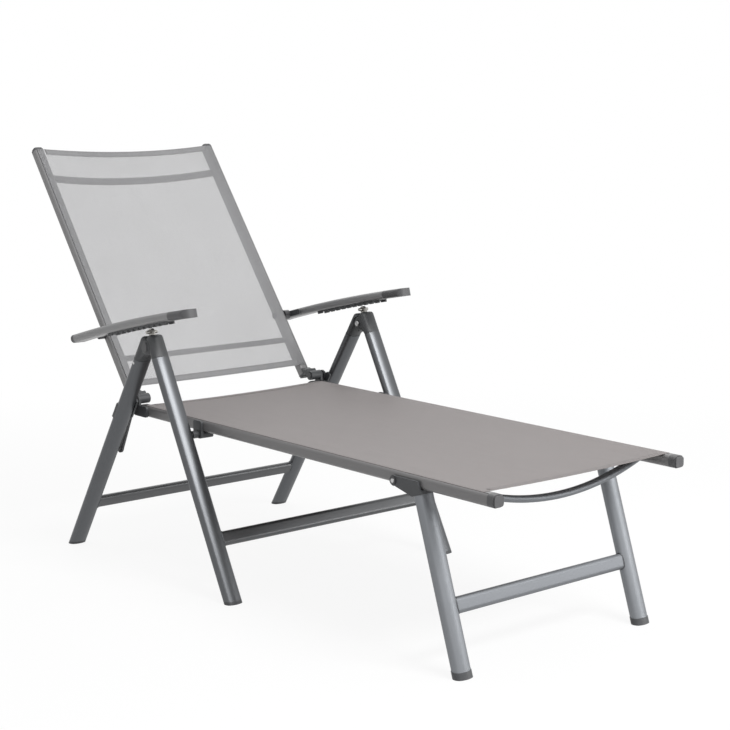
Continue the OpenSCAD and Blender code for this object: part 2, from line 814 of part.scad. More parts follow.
// Side view of a bracket plate: lobe at the pivot, straight down to the leg's top
module foot_bracket_outline() {
    front = -foot_leg_offset - leg_depth / 2;
    circle(r = lobe_radius);
    polygon([
        [foot_leg_top_drop, front],
        [foot_leg_top_drop, front + leg_depth],
        [lobe_radius, 0],
        [-lobe_radius * sin(foot_leg_lean), lobe_radius * cos(foot_leg_lean)],
        [-lobe_radius, 0],
        [foot_leg_top_drop - foot_bracket_front_rise - leg_depth / 2, front + side_play]
    ]);
}

module foot_bracket_left() foot_bracket(1);
module foot_bracket_right() foot_bracket(-1);

module foot_leg_rivets() {
    plate_outer = rail_width / 2 + side_play + bracket_plate;
    color([0.8, 0.8, 0.8]) centred() both_sides() foot_side() translate([rail_x, 0, 0]) {
        pin(rivet_radius, -plate_outer - rivet_head_height, plate_outer + rivet_head_height);
        for (end = [-1, 1]) translate([end * (plate_outer + rivet_head_height / 2), 0, 0])
            pin(rivet_head_radius, -rivet_head_height / 2, rivet_head_height / 2);
    }
}

// Cup that wraps a foot leg's lower end, with a rounded rim and a flat sole
module foot_leg_caps() {
    span = (foot_pivot_z + foot_leg_offset * sin(foot_leg_lean)) / cos(foot_leg_lean);
    color([0.12, 0.12, 0.12]) centred() both_sides() difference() {
        union() {
            intersection() {
                foot_side() translate([rail_x, 0, -foot_leg_offset]) run(span - leg_depth, 2 * leg_depth)
                    leg_outline(-foot_cap_wall / 2);
                below(foot_cap_height);
            }
            difference() {
                foot_side() translate([rail_x, 0, -foot_leg_offset])
                    run(span - 2 * plug_length, 2 * plug_length) leg_cavity(plug_clearance);
                below(foot_cap_height);
            }
        }
        below(0);
    }
}

// Backrest

module back_rail(side) {
    from = elbow_step + elbow_flange;
    color([0.42, 0.42, 0.43]) centred() on_side(side) back_side() translate([rail_x, 0, -back_offset])
        difference() {
            run(from, back_length - top_cap_length - from) rail_outline(back_depth);
            translate([0, arm_pivot_rise, 0]) pin(arm_bolt_radius + pin_clearance, -rail_width, rail_width);
        }
}

module back_rail_left() back_rail(1);
module back_rail_right() back_rail(-1);

module head_bow_bar() {
    color([0.42, 0.42, 0.43]) centred() back_side()
        bow_bar(back_length - head_bar_drop, -back_offset - back_bar_drop, head_bar_bow);
}

module lumbar_bar() {
    color([0.42, 0.42, 0.43]) centred() back_side() translate([0, lumbar_rise, -back_offset - back_bar_drop])
        slab(-rail_inner_x, 2 * rail_inner_x) stadium_tube(lumbar_height, lumbar_depth);
}

// The top edge of the back sling dips between its corners
module back_sling() {
    half = rail_inner_x;
    radius = (half * half + back_sling_dip * back_sling_dip) / (2 * back_sling_dip);
    from = back_sling_start;
    top = back_length - top_cap_length;
    color([0.72, 0.72, 0.73]) centred() back_side() translate([0, 0, back_depth / 2 - back_offset])
        difference() {
            run(from, top - from) sling_outline(back_sling_sag);
            translate([0, top - back_sling_dip + radius, -overrun - 2 * back_sling_sag])
                cylinder(r = radius, h = 2 * overrun + 3 * back_sling_sag, $fn = 360);
        }
}

module back_top_caps() {
    color([0.25, 0.25, 0.26]) centred() both_sides() back_side()
        translate([rail_x, back_length - top_cap_length, -back_offset]) {
            run(0, top_cap_length - cap_lip) rounded(rail_width, back_depth, rail_corner);
            run(0, top_cap_length)
                rounded(rail_width - cap_lip, back_depth - cap_lip, rail_corner - cap_lip / 2);
            run(-plug_length, plug_length + overrun) cavity_outline(back_depth, plug_clearance);
        }
}

// Elbow at the back rail's lower end, with the lug that turns on the hinge bolt
module back_elbow(side) {
    front = -back_offset + back_depth / 2;
    rear = -back_offset - back_depth / 2;
    color([0.14, 0.14, 0.15]) centred() on_side(side) back_side() {
        difference() {
            slab(rail_inner_x, rail_width) {
                circle(r = elbow_radius);
                translate([0, -elbow_radius]) square([elbow_step + elbow_flange, elbow_radius]);
                translate([elbow_step + elbow_radius, rear + elbow_radius]) intersection() {
                    circle(r = elbow_radius);
                    square([2 * elbow_radius, 2 * elbow_radius], center = true);
                }
                translate([elbow_step, rear + elbow_radius]) square([elbow_flange, -rear - elbow_radius]);
                polygon([
                    [0, elbow_radius],
                    [elbow_web, front],
                    [elbow_step, front],
                    [elbow_step, -elbow_radius]
                ]);
            }
            translate([rail_x, 0, -back_offset]) run(elbow_step + elbow_flange, reach)
                rounded(rail_width + overrun, back_depth, socket_corner);
            pin(hinge_bolt_radius + pin_clearance, 0, leg_outer_x);
        }
        translate([rail_x, 0, -back_offset])
            run(elbow_step + elbow_flange - overrun, plug_length + overrun)
                cavity_outline(back_depth, plug_clearance);
    }
}

module back_elbow_left() back_elbow(1);
module back_elbow_right() back_elbow(-1);

// Hinge bolt through elbow, plate and link, with its spacer, and its end on the rest bracket
module back_hinge_bolts() {
    color([0.2, 0.2, 0.2]) centred() both_sides() translate([0, hinge_y, hinge_z]) {
        pin(collar_radius, rail_inner_x - rivet_head_height, rail_inner_x);
        pin(hinge_bolt_radius, rail_inner_x - rivet_head_height, leg_inner_x - pass_gap);
        pin(collar_radius, rail_outer_x + hinge_plate_thickness, link_inner_x);
        pin(collar_radius, link_inner_x + link_thickness, leg_inner_x - pass_gap);
    }
}

module arm_pivot_bolts() {
    block_inner = arm_inner_x - bracket_plate;
    color([0.2, 0.2, 0.2]) centred() both_sides() translate([0, arm_pivot_y, arm_pivot_z]) {
        pin(rivet_head_radius, rail_inner_x - rivet_head_height, rail_inner_x);
        pin(arm_bolt_radius, rail_inner_x - rivet_head_height, arm_inner_x);
        pin(arm_collar_radius, rail_outer_x, block_inner);
    }
}

// Armrests

// Runs an outline, radius across and width along, round the armrest's arch
module arch(from, to)
    translate([0, 0, -arm_radius]) rotate([0, -90, 0]) rotate([0, 0, from / arm_radius * 180 / PI])
        rotate_extrude(angle = (to - from) / arm_radius * 180 / PI, $fn = 720)
            translate([arm_radius, 0]) children();

arm_tip = arm_tail - arm_length;
arm_cap_seam = arm_tip + arm_front_cap_length;
arm_end_seam = arm_tail - arm_rear_cap_length;

module armrest(side) {
    color([0.5, 0.5, 0.51]) centred() on_side(side) arm_side() translate([leg_x, 0, 0])
        arch(arm_cap_seam, arm_end_seam) difference() {
            rounded(arm_thickness, arm_width, arm_corner);
            rounded(arm_thickness - 2 * tube_wall, arm_width - 2 * tube_wall, arm_corner - tube_wall);
        }
}

module armrest_left() armrest(1);
module armrest_right() armrest(-1);

// Front cap with a round tip and an oval dish on top
module armrest_front_cap(side) {
    tip_radius = arm_width / 2;
    dish = arm_width - 2 * arm_corner;
    color([0.22, 0.22, 0.23]) centred() on_side(side) arm_side() translate([leg_x, 0, 0]) {
        difference() {
            intersection() {
                arch(arm_tip - arm_width, arm_cap_seam) rounded(arm_thickness, arm_width, arm_corner);
                tip_outline(tip_radius);
            }
            translate([0, 0, arm_dish_z(arm_tip + tip_radius + arm_corner)])
                translate([0, arm_tip + tip_radius + arm_corner, 0]) linear_extrude(arm_thickness)
                    stadium(dish - arm_corner, dish + arm_corner);
        }
        arch(arm_cap_seam, arm_cap_seam + plug_length)
            rounded(arm_thickness - 2 * tube_wall - 2 * plug_clearance,
                arm_width - 2 * tube_wall - 2 * plug_clearance, arm_corner - tube_wall - plug_clearance);
    }
}

// Height of the dish's floor over the armrest's own straight line
function arm_dish_z(along) = sqrt(arm_radius * arm_radius - along * along) - arm_radius
    + arm_thickness / 2 - arm_dish_depth;

module tip_outline(radius)
    translate([0, 0, -reach]) linear_extrude(2 * reach) {
        translate([0, arm_tip + radius]) circle(r = radius);
        translate([-radius, arm_tip + radius]) square([2 * radius, arm_front_cap_length + overrun]);
    }

module armrest_front_cap_left() armrest_front_cap(1);
module armrest_front_cap_right() armrest_front_cap(-1);

module armrest_rear_caps() {
    color([0.22, 0.22, 0.23]) centred() both_sides() arm_side() translate([leg_x, 0, 0]) {
        arch(arm_end_seam, arm_tail) rounded(arm_thickness, arm_width, arm_corner);
        arch(arm_end_seam - plug_length, arm_tail - overrun)
            rounded(arm_thickness - 2 * tube_wall - 2 * plug_clearance,
                arm_width - 2 * tube_wall - 2 * plug_clearance, arm_corner - tube_wall - plug_clearance);
    }
}

// Channel under the armrest whose notched walls rest on the post's pin
module armrest_rack(side) {
    middle = (rack_front + rack_rear) / 2;
    count = floor((rack_front - rack_rear) / rack_tooth_pitch - rack_end_share);
    notch_r = arm_radius - arm_thickness / 2 - rack_depth;
    inner = post_thickness + 2 * overrun;
    color([0.13, 0.13, 0.14]) centred() on_side(side) arm_side() translate([leg_x, 0, 0])
        difference() {
            arch(-rack_front, -rack_rear) translate([-(arm_thickness + rack_depth) / 2, 0]) difference() {
                square([rack_depth, inner + 2 * rack_wall], center = true);
                translate([-rack_floor, 0]) square([rack_depth, inner], center = true);
            }
            for (tooth = [0 : count - 1])
                let (turn = (-middle + (tooth - (count - 1) / 2) * rack_tooth_pitch) / arm_radius * 180 / PI)
                    translate([0, 0, -arm_radius]) rotate([-turn, 0, 0]) translate([0, 0, notch_r])
                        pin(rack_notch_radius, -arm_width / 2, arm_width / 2);
        }
}

module armrest_rack_left() armrest_rack(1);
module armrest_rack_right() armrest_rack(-1);

// Blocks on the armrests' inner sides that turn on the pivot bolts
module arm_hinge_blocks() {
    color([0.14, 0.14, 0.15]) centred() both_sides() arm_side() difference() {
        slab(arm_inner_x - bracket_plate, bracket_plate)
            translate([hinge_block_height / 2 - hinge_block_length / 2, 0])
                stadium(hinge_block_length, hinge_block_height);
        pin(arm_bolt_radius + pin_clearance, 0, leg_x);
    }
}

seat_rail_left();
seat_rail_right();
rail_foot_caps();
rail_nose_caps();
foot_bow_bar();
seat_rear_bar();
seat_sling();
frame_bracket_left();
frame_bracket_right();
hinge_plate_left();
hinge_plate_right();
front_leg_left();
front_leg_right();
front_crossbar();
front_knuckle_left();
front_knuckle_right();
armrest_post_left();
armrest_post_right();
front_foot_plugs();
frame_pivot_bolts();
rear_leg_left();
rear_leg_right();
rear_crossbar();
rear_knuckle_left();
rear_knuckle_right();
knuckle_covers();
knuckle_bolts();
rear_foot_plugs();
rest_bracket_left();
rest_bracket_right();
link_left();
link_right();
link_rivets();
foot_leg_left();
foot_leg_right();
foot_crossbar();
foot_bracket_left();
foot_bracket_right();
foot_leg_caps();
foot_leg_rivets();
back_rail_left();
back_rail_right();
head_bow_bar();
lumbar_bar();
back_sling();
back_top_caps();
back_elbow_left();
back_elbow_right();
back_hinge_bolts();
arm_pivot_bolts();
armrest_left();
armrest_right();
armrest_front_cap_left();
armrest_front_cap_right();
armrest_rear_caps();
armrest_rack_left();
armrest_rack_right();
arm_hinge_blocks();
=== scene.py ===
"""Looks of a folding sun lounger: woven slings, hems, welds, domed heads, finishes and a plain studio."""

import json
import math

import bmesh
import bpy
import numpy as np
from bpy.props import FloatProperty, FloatVectorProperty, PointerProperty
from bpy.types import Operator, Panel, PropertyGroup
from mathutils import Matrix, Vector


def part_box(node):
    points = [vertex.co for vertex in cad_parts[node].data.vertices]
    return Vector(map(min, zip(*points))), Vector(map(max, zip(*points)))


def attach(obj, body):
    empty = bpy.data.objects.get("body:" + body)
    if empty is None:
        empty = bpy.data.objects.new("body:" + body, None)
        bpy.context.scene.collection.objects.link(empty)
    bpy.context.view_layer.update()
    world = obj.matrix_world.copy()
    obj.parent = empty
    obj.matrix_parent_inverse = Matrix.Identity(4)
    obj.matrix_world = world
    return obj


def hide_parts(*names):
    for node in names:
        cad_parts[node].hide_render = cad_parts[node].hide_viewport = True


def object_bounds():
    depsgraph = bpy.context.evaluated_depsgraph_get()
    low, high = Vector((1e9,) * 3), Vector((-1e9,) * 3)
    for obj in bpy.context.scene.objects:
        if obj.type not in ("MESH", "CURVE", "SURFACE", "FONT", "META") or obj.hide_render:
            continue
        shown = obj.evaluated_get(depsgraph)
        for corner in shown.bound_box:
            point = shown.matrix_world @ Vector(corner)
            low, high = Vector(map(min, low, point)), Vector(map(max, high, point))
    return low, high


bl_info = {
    "name": "Folding sun lounger",
    "version": (1, 0, 0),
    "blender": (4, 5, 0),
    "location": "3D View > Sidebar > Lounger",
    "description": "Dresses a folding sun lounger with its slings, hems, welds and finishes",
    "category": "Object",
}

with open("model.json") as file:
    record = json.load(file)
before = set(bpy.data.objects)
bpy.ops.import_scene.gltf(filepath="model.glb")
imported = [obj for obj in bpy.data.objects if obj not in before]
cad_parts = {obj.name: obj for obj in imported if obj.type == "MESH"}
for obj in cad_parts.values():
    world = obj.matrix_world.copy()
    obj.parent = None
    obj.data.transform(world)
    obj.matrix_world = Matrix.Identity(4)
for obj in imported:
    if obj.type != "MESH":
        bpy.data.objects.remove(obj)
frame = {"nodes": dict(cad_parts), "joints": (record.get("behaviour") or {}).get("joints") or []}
CAD_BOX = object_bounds()
MM = 0.001

# Sizes that follow the CAD
RAIL_CORNER = 8 * MM  # inner corner of a rail, which the cloth spans before it lies on the rail's face
GROOVE_INSET = 6 * MM  # middle of a rail's bead groove, from the rail's outer side
LEG_SIDE_RADIUS = 11 * MM  # round sides of the legs' section

# Sizes of the meshes
SAME_POINT = 2e-6  # corners closer than this are one
SHARP_EDGE = math.radians(32)
KNUCKLE_VOXEL = 0.8 * MM
WELD_RIPPLE = 2.2 * MM  # length of one ripple in a weld bead
FLOOR_RINGS = (1e-4, 0.5, 1, 2, 4, 9)  # radii of the floor's rings, in metres
FLOOR_DROP = 0.2 * MM  # how far the floor lies under the feet

# Shapes of the slings
BEAD_DROP_SHARE = 0.95  # height over the bead's middle where the straight wall ends, of its radius
BEAD_LOOP = (0.1, 2 * math.pi - 0.5)  # angles round the bead where the cloth's loop starts and ends
ROW_SHIFT_SHARE = 0.012  # how far a sling's rows crowd towards its hems, of its length
HEM_EASE_SHARE = 0.35  # how much of the sag a hem takes out
RIPPLE_FADE = 30 * MM  # distance from a hem in which its ripples and its hold on the sag die down
RIPPLE_LENGTH = 34 * MM  # from one crest to the next
RIPPLE_REACH_SHARE = 0.22  # how far the ripples reach in from a rail, of the half width

# Shapes of the hems and stitches
HEM_EDGE_POWER = 0.35  # lower for squarer edges of a hem's section
HEM_YARN_SHARE = 0.7  # width of a hem's yarn, of the pitch
STITCH_ROW_SHARES = (-0.32, 0.3)  # places of the two stitch rows, of the hem's width, from its middle
STITCH_SEAT_SHARE = 0.97  # height of the stitches' base, of half the hem's thickness
STITCH_RISE = 1.5  # height of a stitch's arc, in radii of the thread
STITCH_SINK = 0.9  # depth of a stitch's ends under its base, in radii of the thread
THREAD_END_SHARE = 0.25  # thickness of a stitch at its ends, of the thread's

# Shapes of the weld beads and the heads
SEAM_STEEPNESS = 2.2  # how fast a seam's points cross the straight sides of the bar's oval
WELD_SWELL_SHARE = 0.16  # how much a ripple swells a weld bead
DOME_STEEPEST = math.pi / 2 * 0.72  # steepness of a dome where the lip of its recess starts
HEAD_SKIRT_SHARE = 0.3  # how far a head's rim goes under its seat, of its height
LIP_SHARES = (0.9, 0.92)  # inner edge of the lip, of the lip's outer radius and of the head's height
RECESS_EDGE_SHARE = 0.88  # height of the recess's edge, of the head's
RECESS_FLOOR_SHARES = (0.94, 0.3)  # the recess's floor, of its edge's radius and of the head's height
FOOT_DOME_SEAT = 4.6 * MM  # radius of the seat of a dome on a foot leg's rivet
BOLT_DOME_SEAT = 7 * MM  # the same on a frame or knuckle bolt, as large as the bolt's head in the CAD
DOME_RADIUS_SHARE = 0.97  # dome's radius, of its seat's
DOME_RECESS_SHARE = 0.36  # radius of a dome's recess, of its seat's
RIVET_HEIGHT_SHARE = 0.35  # height of a knuckle rivet's head, of its radius
RIVET_RECESS_SHARE = 0.3  # radius of the recess in that head, of its radius

# Offset from the object's middle, width and height, and power in watts
LAMPS = {
    "top": ((-0.6, 0.2, 3.4), (3.0, 3.0), 21),
    "key": ((0.3, -3.2, 2.75), (2.2, 1.0), 150),
    "low": ((2.6, -2.8, 0.5), (1.2, 1.2), 30),
    "rim": ((1.8, 2.6, 2.6), (2.4, 2.4), 24),
}
SENSOR_WIDTH = 36


# Places read from the frame

def vertices_of(node):
    """All vertices of a CAD node as an array of (x, y, z)."""
    mesh = frame["nodes"][node].data
    flat = np.empty(len(mesh.vertices) * 3)
    mesh.vertices.foreach_get("co", flat)
    return flat.reshape(-1, 3)


def joint_place(name):
    """Place of a joint's axis at rest."""
    return next(np.array(j["pos_m"]) for j in frame["joints"] if j["name"] == name)


def lean_of(node):
    """Angle of a node's longest direction above the +Y axis, seen along X."""
    side = vertices_of(node)[:, 1:]
    side = side - side.mean(axis=0)
    along = np.linalg.svd(side, full_matrices=False)[2][0]
    return math.atan2(along[1], along[0]) % math.pi


class Place:
    """A flat frame across X: origin, direction along the piece, direction off its face."""

    def __init__(self, origin, lean):
        self.origin = np.array(origin)
        self.along = np.array([0, math.cos(lean), math.sin(lean)])
        self.off = np.array([0, -math.sin(lean), math.cos(lean)])
        self.lean = lean

    def put(self, x, along, off):
        """Points in the scene of local x, along and off."""
        x, along, off = np.broadcast_arrays(x, along, off)
        across = np.zeros(x.shape + (3,))
        across[..., 0] = x
        return self.origin + across + along[..., None] * self.along + off[..., None] * self.off

    def box(self, node):
        """Lowest and highest local (x, along, off) of a CAD node."""
        points = vertices_of(node) - self.origin
        local = np.stack([points[:, 0], points @ self.along, points @ self.off], axis=1)
        return local.min(axis=0), local.max(axis=0)


HINGE = joint_place("recline")
SEAT = Place((0, 0, 0), 0)
BACK = Place((0, HINGE[1], HINGE[2]), lean_of("back_rail_left"))
FRONT_LEGS = Place((0, *joint_place("frame_fold")[1:]), lean_of("front_leg_left"))
REAR_LEGS = Place((0, *joint_place("rear_leg_fold")[1:]), lean_of("rear_leg_left"))
FOOT_LEGS = Place((0, *joint_place("foot_leg_fold")[1:]), lean_of("foot_leg_left"))


# Sizes and colours that a user would change

def size(name, default, description):
    return FloatProperty(name=name, description=description, default=default, unit="LENGTH", precision=4)


def share(name, default, description):
    return FloatProperty(
        name=name, description=description, default=default, min=0, max=1, subtype="FACTOR")


def colour(name, default, description):
    return FloatVectorProperty(
        name=name, description=description, default=default, min=0, max=1, size=3, subtype="COLOR")


def angle(name, degrees, description):
    return FloatProperty(name=name, description=description, default=math.radians(degrees), subtype="ANGLE")


class SlingSettings(PropertyGroup):
    cloth_thickness: size("Cloth thickness", 0.7 * MM, "Thickness of the seat's woven cloth")
    back_thickness: size("Back cloth thickness", 0.4 * MM, "Thickness of the back's open cloth")
    seat_sag: size("Seat sag", 6 * MM, "Sag of the seat sling between its rails")
    back_sag: size("Back sag", 5 * MM, "Sag of the back sling between its rails")
    bend_radius: size("Bend radius", 1.1 * MM, "Radius of the cloth's bend into the rails' grooves")
    slot_shift: size("Slot shift", 0.7 * MM, "Distance of the cloth inwards from the groove's middle")
    bead_radius: size("Bead radius", 2.2 * MM, "Radius of the loop round the edge bead")
    groove_depth: size("Groove depth", 5 * MM, "Depth of the bead's middle below the rail's face")
    ripple: size("Ripple", 0.35 * MM, "Height of the tension ripples near the hems")
    pitch: size("Yarn pitch", 2.1 * MM, "Distance between neighbouring yarns")
    seat_yarn: share("Seat yarn width", 0.9, "Width of a seat yarn, as a share of the pitch")
    back_yarn: share("Back yarn width", 0.31, "Width of a back yarn, as a share of the pitch")
    seat_colour: colour("Seat yarn", (0.212, 0.194, 0.191), "Colour of the seat's yarns")
    back_colour: colour("Back yarn", (0.40, 0.40, 0.41), "Colour of the back's yarns")
    hem_colour: colour("Back hems", (0.25, 0.25, 0.255), "Colour of the back's doubled hems")
    top_dip: size("Top dip", 12 * MM, "Drop of the back sling's top edge between its corners")


class HemSettings(PropertyGroup):
    width: size("Hem width", 17 * MM, "Width of a sling's end hem")
    thickness: size("Hem thickness", 1.9 * MM, "Thickness of a sling's end hem")
    stitch_length: size("Stitch length", 3.2 * MM, "Length of one stitch")
    stitch_gap: size("Stitch gap", 1.2 * MM, "Space between two stitches")
    thread_radius: size("Thread radius", 0.3 * MM, "Radius of the sewing thread")
    thread_colour: colour("Thread", (0.16, 0.155, 0.15), "Colour of the sewing thread")


class MetalSettings(PropertyGroup):
    leg_colour: colour("Legs", (0.108, 0.112, 0.118), "Colour of the anodised legs")
    rail_colour: colour("Back rails", (0.21, 0.208, 0.21), "Colour of the coated back rails")
    # The seat rails have the back rails' coating; this darker copy is painted shade.
    seat_rail_shaded_colour: colour("Seat rails", (0.16, 0.157, 0.158), "Colour of the coated seat rails")
    arm_colour: colour("Armrests", (0.215, 0.215, 0.218), "Colour of the armrests")
    post_colour: colour("Posts", (0.36, 0.35, 0.33), "Colour of the armrest posts")
    bolt_colour: colour("Bolts", (0.5, 0.5, 0.5), "Colour of bright bolts and rivets")
    dark_colour: colour("Dark steel", (0.045, 0.045, 0.048), "Colour of the coated links and bolts")
    # Paler copy of the legs' anodising: painted light on the foot legs, their crossbar and bow bar.
    foot_leg_painted_light_colour: colour("Foot legs", (0.2, 0.209, 0.222), "Colour of the foot legs and their crossbar")
    bar_colour: colour("Bars", (0.105, 0.107, 0.11), "Colour of the frame's crossbars and cross tubes")
    leg_roughness: share("Leg roughness", 0.39, "Roughness of the anodised legs")
    weld_radius: size("Weld radius", 1.7 * MM, "Radius of a weld bead")
    dome_height: size("Dome height", 1.6 * MM, "Height of a domed bolt head")
    rivet_radius: size("Rivet radius", 3.2 * MM, "Radius of the rivet head at a rear knuckle")
    rivet_drop: size("Rivet drop", 12 * MM, "Distance of that rivet below the leg's top end")


class PlasticSettings(PropertyGroup):
    black: colour("Dark plastic", (0.045, 0.047, 0.05), "Colour of the dark moulded fittings")
    grey: colour("Grey plastic", (0.075, 0.075, 0.078), "Colour of the grey moulded caps")
    roughness: share("Roughness", 0.46, "Roughness of the moulded fittings")
    rounding: size("Knuckle rounding", 8 * MM, "Radius of the knuckles' rounded edges")
    grain: size("Grain", 0.9 * MM, "Size of the moulded grain")


class StageSettings(PropertyGroup):
    eye: FloatVectorProperty(
        name="Camera", description="Place of the camera", size=3, subtype="TRANSLATION",
        default=(-2.421, -2.9929, 1.120))
    azimuth: angle("Azimuth", -40.43, "Turn of the camera round the object")
    elevation: angle("Elevation", 9.21, "Tilt of the camera above level")
    roll: angle("Roll", -0.08, "Roll of the camera")
    lens: FloatProperty(name="Lens", description="Focal length in millimetres", default=81.97)
    floor_colour: colour("Floor", (0.86, 0.86, 0.86), "Colour of the floor")
    floor_glow: share("Floor glow", 0.9, "How much of the floor shows as plain white")
    ambient: share("Ambient", 0.42, "Light of the surroundings on the object")


# Meshes worked out on grids

def full_turn(count):
    """Evenly spaced angles once round a circle."""
    return np.linspace(0, 2 * math.pi, count, endpoint=False)


def grid_mesh(name, grids, round_u=False, round_v=False, uv=None):
    """A mesh of four-sided faces over grids of points[u, v]; round_u and round_v close each into a ring.

    uv holds a pair for each point of a single grid."""
    faces, first = [], 0
    for points in grids:
        count = points.shape[0] * points.shape[1]
        index = first + np.arange(count).reshape(points.shape[:2])
        if round_u:
            index = np.concatenate([index, index[:1]], axis=0)
        if round_v:
            index = np.concatenate([index, index[:, :1]], axis=1)
        corners = [index[:-1, :-1], index[1:, :-1], index[1:, 1:], index[:-1, 1:]]
        faces.append(np.stack(corners, axis=-1).reshape(-1, 4))
        first += count
    faces = np.concatenate(faces)
    mesh = bpy.data.meshes.new(name)
    mesh.vertices.add(first)
    mesh.vertices.foreach_set("co", np.concatenate([points.reshape(-1) for points in grids]))
    add_faces(mesh, faces)
    if uv is not None:
        layer = mesh.uv_layers.new(name="cloth")
        layer.data.foreach_set("uv", uv.reshape(-1, 2)[faces.reshape(-1)].reshape(-1))
    return mesh


def add_faces(mesh, faces):
    """Fills an empty mesh with equal-sided faces given as rows of vertex numbers."""
    count, sides = faces.shape
    mesh.loops.add(count * sides)
    mesh.loops.foreach_set("vertex_index", faces.reshape(-1))
    mesh.polygons.add(count)
    mesh.polygons.foreach_set("loop_start", np.arange(0, count * sides, sides))
    mesh.polygons.foreach_set("loop_total", np.full(count, sides))
    mesh.update(calc_edges=True)
    mesh.validate()


def merge_doubles(mesh, distance):
    """Merges points that lie together and turns the faces outwards."""
    work = bmesh.new()
    work.from_mesh(mesh)
    bmesh.ops.remove_doubles(work, verts=work.verts, dist=distance)
    bmesh.ops.recalc_face_normals(work, faces=work.faces)
    work.to_mesh(mesh)
    work.free()


def add_piece(name, mesh, material, body):
    """Puts a mesh into the scene as a piece that rides on a body."""
    old = bpy.data.objects.get(name)
    if old is not None:
        bpy.data.objects.remove(old, do_unlink=True)
    mesh.polygons.foreach_set("use_smooth", np.ones(len(mesh.polygons), bool))
    mesh.materials.append(material)
    piece = bpy.data.objects.new(name, mesh)
    bpy.context.scene.collection.objects.link(piece)
    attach(piece, body)
    return piece


def arc_length(path):
    """Length along a path of points, starting at 0."""
    steps = np.linalg.norm(np.diff(path, axis=0), axis=1)
    return np.concatenate([[0], np.cumsum(steps)])


def tube_grid(path, radius, sides):
    """Circles of a radius carried along a path of 3-D points, with their planes square to it."""
    tangent = np.gradient(path, axis=0)
    tangent /= np.linalg.norm(tangent, axis=1, keepdims=True)
    never_along = np.array([0.31, 0.83, 0.47])
    side = np.cross(tangent, never_along)
    side /= np.linalg.norm(side, axis=1, keepdims=True)
    up = np.cross(side, tangent)
    turn = full_turn(sides)
    radius = np.broadcast_to(radius, len(path))[:, None, None]
    around = np.cos(turn)[None, :, None] * side[:, None] + np.sin(turn)[None, :, None] * up[:, None]
    return path[:, None] + radius * around


# Shader helpers

class Nodes:
    """Short calls for building one node tree."""

    def __init__(self, tree):
        self.tree = tree

    def add(self, kind, **settings):
        made = self.tree.nodes.new(kind)
        for key, value in settings.items():
            setattr(made, key, value)
        return made

    def link(self, source, target):
        self.tree.links.new(source, target)

    def feed(self, socket, value):
        """Links an output into a socket, or sets the socket's own value."""
        if isinstance(value, bpy.types.NodeSocket):
            self.link(value, socket)
        elif value is not None:
            socket.default_value = value

    def maths(self, operation, a, b=None, clamp=False):
        made = self.add("ShaderNodeMath", operation=operation, use_clamp=clamp)
        for socket, value in zip(made.inputs, (a, b)):
            self.feed(socket, value)
        return made.outputs[0]

    def times(self, a, b, clamp=False):
        return self.maths("MULTIPLY", a, b, clamp)

    def plus(self, a, b, clamp=False):
        return self.maths("ADD", a, b, clamp)

    def vector(self, operation, a, b=None):
        made = self.add("ShaderNodeVectorMath", operation=operation)
        self.feed(made.inputs[0], a)
        self.feed(made.inputs[1], b)
        return made.outputs["Value" if operation == "DOT_PRODUCT" else "Vector"]

    def spread(self, value, low, high):
        """Maps 0..1 to low..high."""
        made = self.add("ShaderNodeMapRange")
        self.feed(made.inputs["Value"], value)
        self.feed(made.inputs["To Min"], low)
        self.feed(made.inputs["To Max"], high)
        return made.outputs["Result"]

    def noise(self, vector, scale, detail=2.0, roughness=0.5):
        made = self.add("ShaderNodeTexNoise")
        self.feed(made.inputs["Vector"], vector)
        self.feed(made.inputs["Scale"], scale)
        made.inputs["Detail"].default_value = detail
        made.inputs["Roughness"].default_value = roughness
        return made.outputs["Fac"]

    def tint(self, base, factor):
        """A colour times a grey factor."""
        made = self.add("ShaderNodeVectorMath", operation="SCALE")
        self.feed(made.inputs[0], base)
        self.feed(made.inputs["Scale"], factor)
        return made.outputs["Vector"]

    def mix(self, factor, a, b):
        """Two colours mixed; the Mix node's colours are its sockets 6 and 7, and its colour output 2."""
        made = self.add("ShaderNodeMix", data_type="RGBA")
        self.feed(made.inputs[0], factor)
        self.feed(made.inputs[6], (*a, 1))
        self.feed(made.inputs[7], (*b, 1))
        return made.outputs[2]

    def bump(self, height, strength=1.0):
        """Normal of a height given in metres."""
        made = self.add("ShaderNodeBump")
        made.inputs["Strength"].default_value = strength
        made.inputs["Distance"].default_value = 1.0
        self.feed(made.inputs["Height"], height)
        return made.outputs["Normal"]

    def group(self, tree, **values):
        made = self.add("ShaderNodeGroup", node_tree=tree)
        for key, value in values.items():
            self.feed(made.inputs[key.replace("_", " ")], value)
        return made


def new_group(name, inputs, outputs):
    """An empty shader node group with named float or vector sockets; returns it with its helper and ends."""
    tree = bpy.data.node_groups.new(name, "ShaderNodeTree")
    for socket_name, default in inputs.items():
        kind = "NodeSocketVector" if default is None else "NodeSocketFloat"
        socket = tree.interface.new_socket(name=socket_name, in_out="INPUT", socket_type=kind)
        if default is not None:
            socket.default_value = default
    for socket_name in outputs:
        tree.interface.new_socket(name=socket_name, in_out="OUTPUT", socket_type="NodeSocketFloat")
    nodes = Nodes(tree)
    start = nodes.add("NodeGroupInput").outputs
    end = nodes.add("NodeGroupOutput").inputs
    return tree, nodes, start, end


